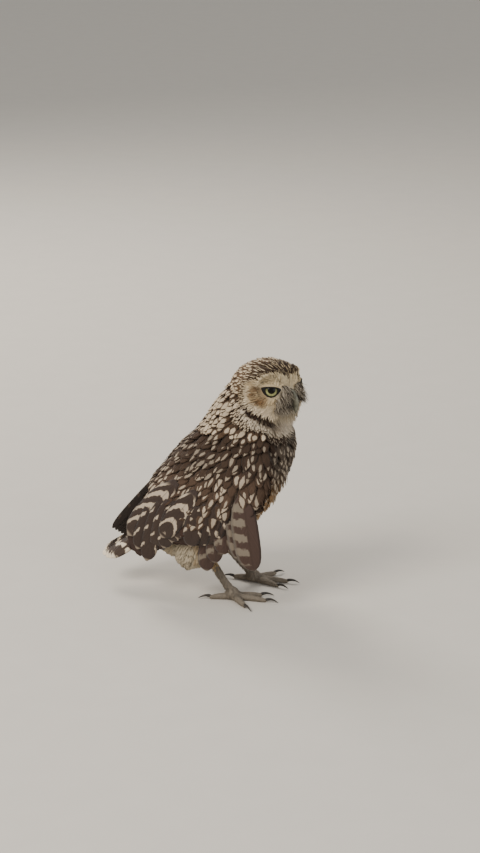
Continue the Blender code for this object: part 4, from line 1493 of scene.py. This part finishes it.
class OWL_OT_make_tail(bpy.types.Operator):
    """Fan the tail's feathers, the middle pair on top"""

    bl_idname = "owl.make_tail"
    bl_label = "Make Tail"

    def execute(self, context):
        lie = Workshop.lie
        rng = np.random.default_rng(31)
        shades = Workshop.looks.shades
        shares = np.linspace(0, 1, TAIL_FEATHERS)
        middle = np.abs(shares - 0.5) * 2
        order = np.argsort(-middle)
        root, left, right = np.array((TAIL_ROOT, TAIL_LEFT_TIP, TAIL_RIGHT_TIP)) + (AHEAD, 0.0, 0.0)
        tips = left + (right - left) * (0.02 + 0.96 * shares[:, None])
        tips = tips + (root - tips) * (0.08 * middle**2 + rng.uniform(0, 0.035, TAIL_FEATHERS))[:, None]
        roots = root + (left - right) * 0.30 * (0.5 - shares[:, None])
        up = unit(np.cross(unit((left + right) / 2 - root), unit(left - right)))
        up = up if up[2] > 0 else -up
        across = unit(right - left)
        along = np.array(FLIGHT_ALONG)
        drop = TAIL_DROP * (middle**2)[:, None] * along[None]
        spine = straight_spines(roots, tips, up, -0.001) + up * (TAIL_LIFT - drop)[..., None]
        tilt = TAIL_TILT * np.sign(shares - 0.5) * middle
        normals = up * np.cos(tilt)[:, None] + across * np.sin(tilt)[:, None]
        normals = np.repeat(normals[:, None], len(along), axis=1)
        sides, ups, widths, camber = vane_arrays(spine, normals, np.full(TAIL_FEATHERS, TAIL_HALF_WIDTH))
        # The tail's brown and white are brightened (x1.1 and x1.15) as painted sunlight, on top of their own
        # colours
        brown, sunlit_ivory = shades["umber"] * 1.1, shades["ivory"] * 1.15
        extras = flight_extras(lie, roots, brown, sunlit_ivory, TAIL_BARS, TAIL_REACH, rng, 0.0, 0.12)
        feathers = Feathers()
        arrays = [values[order] for values in (spine, sides, ups, widths, camber)]
        extras = {name: values[order] for name, values in extras.items()}
        feathers.add(*arrays, FLIGHT_ACROSS, FLIGHT_ALONG, extras)
        made = feathers.make("tail_feathers", flight_material())
        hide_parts("tail")
        return {"FINISHED"}


# How far the front bulges over the eyeball, the angle that it spans, and how far the ball shrinks
BULGE = 0.0005
BULGE_ANGLE = 0.62
BALL_SHRINK = 0.0001


class OWL_OT_make_eyes(bpy.types.Operator):
    """Turn a ball for each eye, with a bulging front, an iris and a pupil"""

    bl_idname = "owl.make_eyes"
    bl_label = "Make Eyes"

    def execute(self, context):
        material = eye_material()
        for word, side in SIDES:
            gaze = head.eye_axes(side)[0]
            turn = gaze.to_track_quat("Z", "Y").to_matrix()
            bpy.ops.object.select_all(action="DESELECT")
            bpy.ops.mesh.primitive_uv_sphere_add(segments=64, ring_count=48, radius=EYE_RADIUS)
            eye = context.view_layer.objects.active
            eye.name = "eyeball_" + word
            mesh = eye.data
            gazes = np.zeros((len(mesh.vertices), 4))
            for vertex in mesh.vertices:
                away = vertex.co.normalized()
                angle = math.acos(max(-1.0, min(1.0, away.z)))
                bulge = BULGE * math.exp(-((angle / BULGE_ANGLE) ** 4))
                flat = math.hypot(vertex.co.x, vertex.co.y)
                across = max(flat, 1e-9)
                gazes[vertex.index] = (
                    flat if away.z > 0 else 1.0,
                    -side * vertex.co.x / across,
                    vertex.co.y / across,
                    1.0,
                )
                vertex.co = head.eyes[word] + turn @ (away * (EYE_RADIUS + bulge - BALL_SHRINK))
            add_colours(mesh, "gaze", gazes)
            mesh.shade_smooth()
            mesh.materials.append(material)
            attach(eye, BODY)
            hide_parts("eye_" + word)
        return {"FINISHED"}


# The bill in the head's frame: forward, up, half height, half width of each section of the upper half
UPPER_BILL = (
    (0.0195, 0.0058, 0.0028, 0.0019),
    (0.0225, 0.0062, 0.0031, 0.0021),
    (0.0256, 0.0052, 0.0036, 0.0022),
    (0.0284, 0.0028, 0.0038, 0.0021),
    (0.0304, -0.0006, 0.0036, 0.0019),
    (0.0316, -0.0042, 0.0031, 0.0016),
    (0.0319, -0.0073, 0.0023, 0.0013),
    (0.0315, -0.0098, 0.0013, 0.0010),
    (0.0309, -0.0116, 0.0004, 0.0004),
)
LOWER_BILL = (
    (0.0200, -0.0045, 0.0020, 0.0030),
    (0.0240, -0.0056, 0.0020, 0.0027),
    (0.0270, -0.0070, 0.0017, 0.0022),
    (0.0290, -0.0084, 0.0012, 0.0015),
    (0.0301, -0.0095, 0.0005, 0.0007),
)


def extruded_horn(name, sections, wide_axis, corners=20):
    """A horn drawn out section by section: sections are (place, half thickness, half width)."""
    bpy.ops.object.select_all(action="DESELECT")
    bpy.ops.mesh.primitive_circle_add(vertices=corners, radius=1.0, fill_type="NGON")
    made = bpy.context.view_layer.objects.active
    made.name = name
    bpy.ops.object.mode_set(mode="EDIT")
    bpy.ops.mesh.select_mode(type="FACE")
    bpy.ops.mesh.select_all(action="SELECT")
    shape = bmesh.from_edit_mesh(made.data)
    shape.faces.ensure_lookup_table()
    flats = [vertex.co.copy() for vertex in shape.faces[0].verts]
    for number, (place, half_height, half_width) in enumerate(sections):
        if number:
            bpy.ops.mesh.extrude_region_move()
            shape = bmesh.from_edit_mesh(made.data)
        cap = [face for face in shape.faces if face.select][0]
        before = sections[max(number - 1, 0)][0]
        after = sections[min(number + 1, len(sections) - 1)][0]
        thick_axis = (after - before).normalized().cross(wide_axis).normalized()
        for vertex, flat in zip(cap.verts, flats):
            vertex.co = place + wide_axis * flat.x * half_width + thick_axis * flat.y * half_height
        bmesh.update_edit_mesh(made.data)
    bpy.ops.mesh.select_all(action="SELECT")
    bpy.ops.mesh.normals_make_consistent(inside=False)
    bpy.ops.object.mode_set(mode="OBJECT")
    apply_modifier(made, "SUBSURF", levels=1, render_levels=1)
    made.data.shade_smooth()
    return made


class OWL_OT_make_bill(bpy.types.Operator):
    """Draw out the hooked upper and the short lower half of the bill"""

    bl_idname = "owl.make_bill"
    bl_label = "Make Bill"

    def execute(self, context):
        sideways = head.turn @ Vector((0, 1, 0))
        halves = []
        for name, table in (("bill_horn", UPPER_BILL), ("bill_lower", LOWER_BILL)):
            sections = [
                (head.centre + head.turn @ Vector((ahead, 0.0, above)), half_height, half_width)
                for ahead, above, half_height, half_width in table
            ]
            halves.append(extruded_horn(name, sections, sideways))
        bill = join(halves, "bill_horn")
        bill.data.materials.append(horn_material("bill_horn", (116, 114, 98), (76, 74, 62)))
        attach(bill, BODY)
        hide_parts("bill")
        return {"FINISHED"}


# A claw is drawn out in this many steps. Its axis starts at this height, rises by the next one halfway
# and drops by the last one, and its root has this radius
CLAW_STEPS = 7
CLAW_START = 0.0023
CLAW_ARCH = 0.0012
CLAW_DROP = 0.0018
CLAW_RADIUS = 0.0015

# How far the root of a claw lies inside its toe
CLAW_INSIDE = 0.0012


def claw_sections(node, ankle):
    """The sections of one claw, which points away from the ankle, and its sideways axis."""
    low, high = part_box(node)
    centre = (low + high) / 2
    ahead = Vector((centre.x - ankle.x, centre.y - ankle.y, 0.0)).normalized()
    reach = Vector((high.x - low.x, high.y - low.y, 0.0)).length * 0.5
    start = Vector((centre.x, centre.y, 0.0)) - ahead * (reach + CLAW_INSIDE)
    sections = []
    for step in range(CLAW_STEPS + 1):
        share = step / CLAW_STEPS
        rise = CLAW_START + CLAW_ARCH * math.sin(math.pi * share) - CLAW_DROP * share**1.6
        radius = CLAW_RADIUS * (1 - share) ** 0.75 + 0.00012
        place = start + ahead * (2 * reach + CLAW_INSIDE) * share
        place.z = max(rise, radius + 0.00005)
        sections.append((place, radius, radius * 0.8))
    return sections, ahead.cross(Vector((0, 0, 1))).normalized()


class OWL_OT_make_claws(bpy.types.Operator):
    """Draw out a curved claw at the end of every toe"""

    bl_idname = "owl.make_claws"
    bl_label = "Make Claws"

    def execute(self, context):
        claws, nodes = [], []
        for word, _ in SIDES:
            ankle = middle_of("shank_" + word)
            ankle.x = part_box("shank_" + word)[1].x - 0.003
            for toe in TOES:
                node = "claw_%s_%s" % (word, toe)
                nodes.append(node)
                sections, wide = claw_sections(node, ankle)
                claws.append(extruded_horn("talon_" + node, sections, wide, 12))
        made = join(claws, "talons")
        made.data.materials.append(horn_material("talon_horn", (58, 52, 46), (26, 23, 21)))
        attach(made, BODY)
        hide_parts(*nodes)
        return {"FINISHED"}


class Shading:
    """Short calls that add nodes to a material or a group."""

    def __init__(self, tree):
        self.tree = tree

    def node(self, kind, **values):
        made = self.tree.nodes.new(kind)
        for name, value in values.items():
            setattr(made, name, value)
        return made

    def feed(self, socket, value):
        if value is None:
            return
        if isinstance(value, bpy.types.NodeSocket):
            self.tree.links.new(value, socket)
        else:
            socket.default_value = value

    def math(self, operation, first, second=None, third=None, clamp=False):
        made = self.node("ShaderNodeMath", operation=operation, use_clamp=clamp)
        for socket, value in zip(made.inputs, (first, second, third)):
            self.feed(socket, value)
        return made.outputs[0]

    def soft(self, value, low, high, to_low=0.0, to_high=1.0):
        made = self.node("ShaderNodeMapRange", interpolation_type="SMOOTHSTEP")
        for socket, given in zip(made.inputs, (value, low, high, to_low, to_high)):
            self.feed(socket, given)
        return made.outputs[0]

    def mix(self, share, first, second, blend="MIX"):
        made = self.node("ShaderNodeMix", data_type="RGBA", blend_type=blend)
        self.feed(made.inputs["Factor"], share)
        self.feed(made.inputs["A"], first)
        self.feed(made.inputs["B"], second)
        return [output for output in made.outputs if output.type == "RGBA"][0]

    def noise(self, scale, detail=2.0, vector=None, roughness=0.5):
        made = self.node("ShaderNodeTexNoise")
        made.inputs["Scale"].default_value = scale
        made.inputs["Detail"].default_value = detail
        made.inputs["Roughness"].default_value = roughness
        self.feed(made.inputs["Vector"], vector)
        return made.outputs["Fac"]

    def group(self, tree, **values):
        made = self.node("ShaderNodeGroup", node_tree=tree)
        for name, value in values.items():
            self.feed(made.inputs[name.replace("_", " ")], value)
        return made.outputs

    def attribute(self, name):
        made = self.node("ShaderNodeAttribute", attribute_name=name)
        return made.outputs["Color"], made.outputs["Alpha"]

    def split(self, vector):
        made = self.node("ShaderNodeSeparateXYZ")
        self.feed(made.inputs[0], vector)
        return made.outputs[0], made.outputs[1], made.outputs[2]


def new_material(name, roughness, specular=0.5, sheen=0.0):
    """A material with a Principled shader. Returns it, its shader and its node helper."""
    made = bpy.data.materials.new(name)
    made.use_nodes = True
    shader = made.node_tree.nodes["Principled BSDF"]
    shader.inputs["Roughness"].default_value = roughness
    shader.inputs["Specular IOR Level"].default_value = specular
    shader.inputs["Sheen Weight"].default_value = sheen
    return made, shader, Shading(made.node_tree)


def new_group(name, inputs, outputs):
    """An empty shader node group with named inputs and outputs."""
    tree = bpy.data.node_groups.new(name, "ShaderNodeTree")
    for kind, socket_name in inputs:
        tree.interface.new_socket(socket_name, in_out="INPUT", socket_type=kind)
    for kind, socket_name in outputs:
        tree.interface.new_socket(socket_name, in_out="OUTPUT", socket_type=kind)
    shading = Shading(tree)
    entry = shading.node("NodeGroupInput")
    leave = shading.node("NodeGroupOutput")
    return tree, shading, entry.outputs, leave.inputs


def barb_group():
    """The fine barbs of a vane, which run from the shaft to the edge: a tint and a height."""
    found = bpy.data.node_groups.get("barbs")
    if found:
        return found
    tree, shading, entry, leave = new_group(
        "barbs",
        (("NodeSocketVector", "Vane"), ("NodeSocketFloat", "Fineness"), ("NodeSocketFloat", "Chance")),
        (("NodeSocketFloat", "Tint"), ("NodeSocketFloat", "Height"), ("NodeSocketFloat", "Beside")),
    )
    across, along, _ = shading.split(entry["Vane"])
    beside = shading.math("ABSOLUTE", shading.math("MULTIPLY_ADD", across, 2.0, -1.0))
    slant = shading.math("MULTIPLY_ADD", beside, -0.35, along)
    moved = shading.math("ADD", slant, entry["Chance"])
    wave = shading.math("SINE", shading.math("MULTIPLY", moved, entry["Fineness"]))
    joined = shading.node("ShaderNodeCombineXYZ")
    shading.feed(joined.inputs[0], shading.math("MULTIPLY", moved, 9.0))
    shading.feed(joined.inputs[1], shading.math("MULTIPLY", entry["Chance"], 31.0))
    clump = shading.noise(3.0, 2.0, joined.outputs[0])
    tint = shading.math("MULTIPLY_ADD", wave, 0.06, shading.math("MULTIPLY_ADD", clump, 0.9, 0.55))
    shaft = shading.soft(beside, 0.02, 0.10)
    leave_tint = shading.math("MULTIPLY", tint, shading.math("MULTIPLY_ADD", shaft, 0.14, 0.86))
    height = shading.math("ADD", shading.math("MULTIPLY", wave, 0.35), shading.math("MULTIPLY", clump, 0.6))
    shading.feed(leave["Tint"], leave_tint)
    shading.feed(leave["Height"], height)
    shading.feed(leave["Beside"], beside)
    return tree


def vane_inputs(shading):
    """The vane map and the attributes that every feather carries."""
    vane = shading.node("ShaderNodeUVMap", uv_map="vane").outputs[0]
    ground, chance = shading.attribute("ground")
    mark, strength = shading.attribute("mark")
    return vane, ground, chance, mark, strength


def finish_vane(shading, shader, colour, height, distance):
    bump = shading.node("ShaderNodeBump")
    bump.inputs["Strength"].default_value = 0.35
    bump.inputs["Distance"].default_value = distance
    shading.feed(bump.inputs["Height"], height)
    shading.feed(shader.inputs["Normal"], bump.outputs[0])
    shading.feed(shader.inputs["Base Color"], colour)


def contour_material():
    """Contour feathers: a ground colour, and one pair of soft spots that lie where the plan says."""
    found = bpy.data.materials.get("contour_vane")
    if found:
        return found
    made, shader, shading = new_material("contour_vane", 0.82, 0.15, 0.04)
    vane, ground, chance, mark, strength = vane_inputs(shading)
    barbs = shading.group(barb_group(), Vane=vane, Fineness=120.0, Chance=chance)
    spot, spot_long = shading.attribute("spot")
    beside_at, along_at, spot_wide = shading.split(spot)
    across, along, _ = shading.split(vane)
    signed = shading.math("MULTIPLY_ADD", across, 2.0, -1.0)
    far = shading.math("DIVIDE", shading.math("SUBTRACT", signed, beside_at), spot_wide)
    down = shading.math("DIVIDE", shading.math("SUBTRACT", along, along_at), spot_long)
    ring = shading.math("ADD", shading.math("POWER", far, 2.0), shading.math("POWER", down, 2.0))
    place = shading.node("ShaderNodeTexCoord").outputs["Object"]
    ragged = shading.noise(1100.0, 3.0, place, 0.65)
    ring = shading.math("ADD", ring, shading.math("MULTIPLY_ADD", ragged, 2.0, -1.0))
    inside = shading.math("MULTIPLY", shading.soft(ring, 1.35, 0.65), strength)
    dull = shading.mix(1.0, ground, barbs["Tint"], "MULTIPLY")
    bright = shading.mix(0.6, mark, shading.mix(1.0, mark, barbs["Tint"], "MULTIPLY"))
    colour = shading.mix(inside, dull, bright)
    finish_vane(shading, shader, colour, barbs["Height"], 0.0003)
    return made


def flight_material():
    """Flight feathers: bars across each web, which stop short of the shaft, and a pale tip."""
    found = bpy.data.materials.get("flight_vane")
    if found:
        return found
    made, shader, shading = new_material("flight_vane", 0.58, 0.3, 0.08)
    vane, ground, chance, mark, margin = vane_inputs(shading)
    barbs = shading.group(barb_group(), Vane=vane, Fineness=420.0, Chance=chance)
    plan, phase = shading.attribute("bars")
    number, share, curve = shading.split(plan)
    limits, tipped = shading.attribute("reach")
    gap, left, right = shading.split(limits)
    across, along, _ = shading.split(vane)
    beside = barbs["Beside"]
    bent = shading.math("MULTIPLY", shading.math("POWER", beside, 2.0), curve)
    place = shading.node("ShaderNodeTexCoord").outputs["Object"]
    ragged = shading.math("MULTIPLY_ADD", shading.noise(260.0, 2.0, place), 0.5, -0.25)
    moved = shading.math("MULTIPLY_ADD", along, number, shading.math("ADD", bent, phase))
    moved = shading.math("ADD", moved, ragged)
    wave = shading.math("ABSOLUTE", shading.math("SUBTRACT", shading.math("FRACT", moved), 0.5))
    half = shading.math("MULTIPLY", share, shading.math("MULTIPLY_ADD", along, -0.25, 0.62))
    bar = shading.soft(shading.math("SUBTRACT", wave, half), 0.05, -0.05)
    off_shaft = shading.soft(shading.math("SUBTRACT", beside, gap), -0.04, 0.06)
    edge = shading.math("MULTIPLY", shading.soft(beside, 0.78, 0.92), margin)
    bar = shading.math("MULTIPLY", bar, shading.soft(along, 0.90, 0.94, 1.0, 0.0))
    bar = shading.math("MAXIMUM", bar, edge)
    web = shading.soft(across, 0.47, 0.53)
    web_share = shading.math("MULTIPLY_ADD", web, shading.math("SUBTRACT", right, left), left)
    bar = shading.math("MULTIPLY", shading.math("MULTIPLY", bar, off_shaft), web_share)
    reached = shading.math("MULTIPLY_ADD", tipped, 0.07, along)
    full = shading.math("MINIMUM", shading.math("MULTIPLY", tipped, 2.0), 1.0)
    tip = shading.math("MULTIPLY", shading.soft(reached, 0.98, 1.01), full)
    shown = shading.math("MAXIMUM", bar, tip)
    shown = shading.math("MULTIPLY", shown, shading.soft(along, 0.05, 0.15))
    dull = shading.mix(1.0, ground, barbs["Tint"], "MULTIPLY")
    colour = shading.mix(shown, dull, mark)
    finish_vane(shading, shader, colour, barbs["Height"], 0.0002)
    return made


def skin_material():
    """Bare skin: the coat's own colours, with small scales on the legs."""
    made, shader, shading = new_material("owl_skin", 0.75, 0.3)
    tone, _ = shading.attribute("tone")
    place = shading.node("ShaderNodeTexCoord").outputs["Object"]
    scales = shading.node("ShaderNodeTexVoronoi", feature="DISTANCE_TO_EDGE")
    scales.inputs["Scale"].default_value = 900.0
    shading.feed(scales.inputs["Vector"], place)
    height = shading.soft(scales.outputs["Distance"], 0.0, 0.18)
    mottle = shading.math("MULTIPLY_ADD", shading.noise(420.0, 3.0, place), 0.6, 0.7)
    tinted = shading.mix(1.0, tone, mottle, "MULTIPLY")
    creases = shading.math("MULTIPLY_ADD", height, 0.3, 0.7)
    colour = shading.mix(1.0, tinted, creases, "MULTIPLY")
    finish_vane(shading, shader, colour, height, 0.0004)
    return made


def horn_material(name, root, tip):
    """Horn that darkens in fine streaks."""
    made, shader, shading = new_material(name, 0.35, 0.5)
    place = shading.node("ShaderNodeTexCoord").outputs["Object"]
    mottle = shading.noise(380.0, 4.0, place)
    share = shading.soft(mottle, 0.35, 0.75)
    colour = shading.mix(share, (*linear(*root), 1.0), (*linear(*tip), 1.0))
    finish_vane(shading, shader, colour, mottle, 0.0002)
    rough = shading.soft(mottle, 0.2, 0.8, 0.28, 0.5)
    shading.feed(shader.inputs["Roughness"], rough)
    return made


def eye_material():
    """A wet eye: black pupil, pale iris with fine rays and a dark edge, and dark beyond it. The iris's top
    and front are darkened as painted shade of the lid and the rim.
    """
    eyes = bpy.context.scene.owl_eyes
    made, shader, shading = new_material("wet_eye", 0.15, 0.08)
    shader.inputs["Coat Weight"].default_value = 0.15
    shader.inputs["Coat Roughness"].default_value = 0.02
    gaze, _ = shading.attribute("gaze")
    out, turn_x, turn_y = shading.split(gaze)
    joined = shading.node("ShaderNodeCombineXYZ")
    shading.feed(joined.inputs[0], turn_x)
    shading.feed(joined.inputs[1], turn_y)
    shading.feed(joined.inputs[2], shading.math("MULTIPLY", out, 60.0))
    rays = shading.noise(14.0, 3.0, joined.outputs[0], 0.7)
    iris = (*eyes.iris, 1.0)
    dim = tuple(value * 0.42 for value in eyes.iris) + (1.0,)
    rayed = shading.mix(shading.soft(rays, 0.35, 0.7), dim, iris)
    # The iris darkens towards its top: painted shade of the upper lid
    below = shading.math("MULTIPLY", turn_y, shading.math("DIVIDE", out, eyes.iris_radius))
    rayed = shading.mix(1.0, rayed, shading.soft(below, -0.45, 0.35, 1.0, 0.22), "MULTIPLY")
    # The iris darkens towards its front: painted shade of the black rim and the bristles before the eye
    ahead = shading.math("MULTIPLY", turn_x, shading.math("DIVIDE", out, eyes.iris_radius))
    rayed = shading.mix(1.0, rayed, shading.soft(ahead, 0.45, 1.05, 1.0, 0.3), "MULTIPLY")
    inner = shading.soft(out, eyes.pupil_radius * 1.05, eyes.pupil_radius * 1.5, 0.55, 1.0)
    outer = shading.soft(out, eyes.iris_radius * 0.78, eyes.iris_radius * 0.99, 1.0, 0.3)
    shaded = shading.mix(1.0, rayed, shading.math("MULTIPLY", inner, outer), "MULTIPLY")
    black = (0.005, 0.004, 0.003, 1.0)
    ring = shading.mix(shading.soft(out, eyes.iris_radius * 0.98, eyes.iris_radius * 1.03), shaded, black)
    colour = shading.mix(
        shading.soft(out, eyes.pupil_radius * 0.97, eyes.pupil_radius * 1.04), black, ring
    )
    shading.feed(shader.inputs["Base Color"], colour)
    return made


# The lights: name, place, size, power and colour. All of them look at the target.
LIGHTS = (
    ("key", (-0.9, -1.3, 1.6), 1.1, 34.0, (1.0, 0.95, 0.88)),
    ("fill", (1.5, -1.1, 0.9), 1.4, 9.0, (0.92, 0.95, 1.0)),
    ("back", (-0.9, 1.2, 1.3), 0.8, 22.0, (1.0, 0.94, 0.86)),
)
LIGHT_TARGET = (0.0, 0.0, 0.10)


class OWL_OT_make_stage(bpy.types.Operator):
    """Lay the floor, hang the lights and place the camera"""

    bl_idname = "owl.make_stage"
    bl_label = "Make Stage"

    def execute(self, context):
        stage = context.scene.owl_stage
        bpy.ops.object.select_all(action="DESELECT")
        bpy.ops.mesh.primitive_plane_add(size=60.0, location=(0, 0, -0.0002))
        floor = context.view_layer.objects.active
        floor.name = "floor"
        floor.data.transform(floor.matrix_world)
        floor.matrix_world = Matrix.Identity(4)
        made, shader, shading = new_material("plain_floor", 0.85, 0.2)
        place = shading.node("ShaderNodeTexCoord").outputs["Object"]
        grain = shading.math("MULTIPLY_ADD", shading.noise(30.0, 4.0, place), 0.06, 0.97)
        shading.feed(shader.inputs["Base Color"], shading.mix(1.0, (*stage.floor, 1.0), grain, "MULTIPLY"))
        floor.data.materials.append(made)
        self.place_camera(context, stage)
        for light in LIGHTS:
            self.add_light(*light)
        world = bpy.data.worlds.new("studio")
        context.scene.world = world
        world.use_nodes = True
        background = world.node_tree.nodes["Background"]
        background.inputs[0].default_value = (0.93, 0.93, 0.92, 1.0)
        background.inputs[1].default_value = 0.55
        return {"FINISHED"}

    def place_camera(self, context, stage):
        camera = bpy.data.cameras.new("camera")
        camera.lens = stage.lens
        camera.sensor_width = 36.0
        item = link("camera", camera)
        level, steep = math.cos(stage.pitch), math.sin(stage.pitch)
        back = Vector((math.sin(stage.azimuth) * level, -math.cos(stage.azimuth) * level, steep))
        right = Vector((math.cos(stage.azimuth), math.sin(stage.azimuth), 0.0))
        up = back.cross(right)
        per_pixel = camera.sensor_width / PICTURE[1] / camera.lens * stage.distance
        aside = (FLOOR_POINT[0] - PICTURE[0] / 2) * per_pixel
        below = (FLOOR_POINT[1] - PICTURE[1] / 2) * per_pixel
        point = Vector((AHEAD, 0.0, 0.0))
        place = point - right * aside + up * below + back * stage.distance
        item.matrix_world = Matrix.Translation(place) @ Matrix((right, up, back)).transposed().to_4x4()
        context.scene.camera = item

    def add_light(self, name, place, size, power, colour):
        light = bpy.data.lights.new(name, "AREA")
        light.shape = "DISK"
        light.size = size
        light.energy = power
        light.color = colour
        item = link(name, light)
        away = Vector(place) - Vector(LIGHT_TARGET)
        item.matrix_world = Matrix.Translation(place) @ away.to_track_quat("Z", "Y").to_matrix().to_4x4()


OPERATORS = (
    OWL_OT_make_skin,
    OWL_OT_make_eyes,
    OWL_OT_make_bill,
    OWL_OT_make_claws,
    OWL_OT_make_coat,
    OWL_OT_make_wings,
    OWL_OT_make_tail,
    OWL_OT_make_stage,
)


class OWL_PT_panel(bpy.types.Panel):
    """Lists the owl's steps in the sidebar"""

    bl_idname = "OWL_PT_panel"
    bl_label = "Burrowing Owl"
    bl_space_type = "VIEW_3D"
    bl_region_type = "UI"
    bl_category = "Owl"

    def draw(self, context):
        for operator in OPERATORS:
            self.layout.operator(operator.bl_idname)


CLASSES = (OwlPlumageSettings, OwlEyeSettings, OwlStageSettings, *OPERATORS, OWL_PT_panel)


def register():
    for item in CLASSES:
        bpy.utils.register_class(item)
    bpy.types.Scene.owl_plumage = bpy.props.PointerProperty(type=OwlPlumageSettings)
    bpy.types.Scene.owl_eyes = bpy.props.PointerProperty(type=OwlEyeSettings)
    bpy.types.Scene.owl_stage = bpy.props.PointerProperty(type=OwlStageSettings)


def unregister():
    del bpy.types.Scene.owl_stage
    del bpy.types.Scene.owl_eyes
    del bpy.types.Scene.owl_plumage
    for item in reversed(CLASSES):
        bpy.utils.unregister_class(item)


def main():
    register()
    bpy.ops.owl.make_skin()
    bpy.ops.owl.make_eyes()
    bpy.ops.owl.make_bill()
    bpy.ops.owl.make_claws()
    bpy.ops.owl.make_coat()
    bpy.ops.owl.make_wings()
    bpy.ops.owl.make_tail()
    bpy.ops.owl.make_stage()


if __name__ == "__main__":
    main()
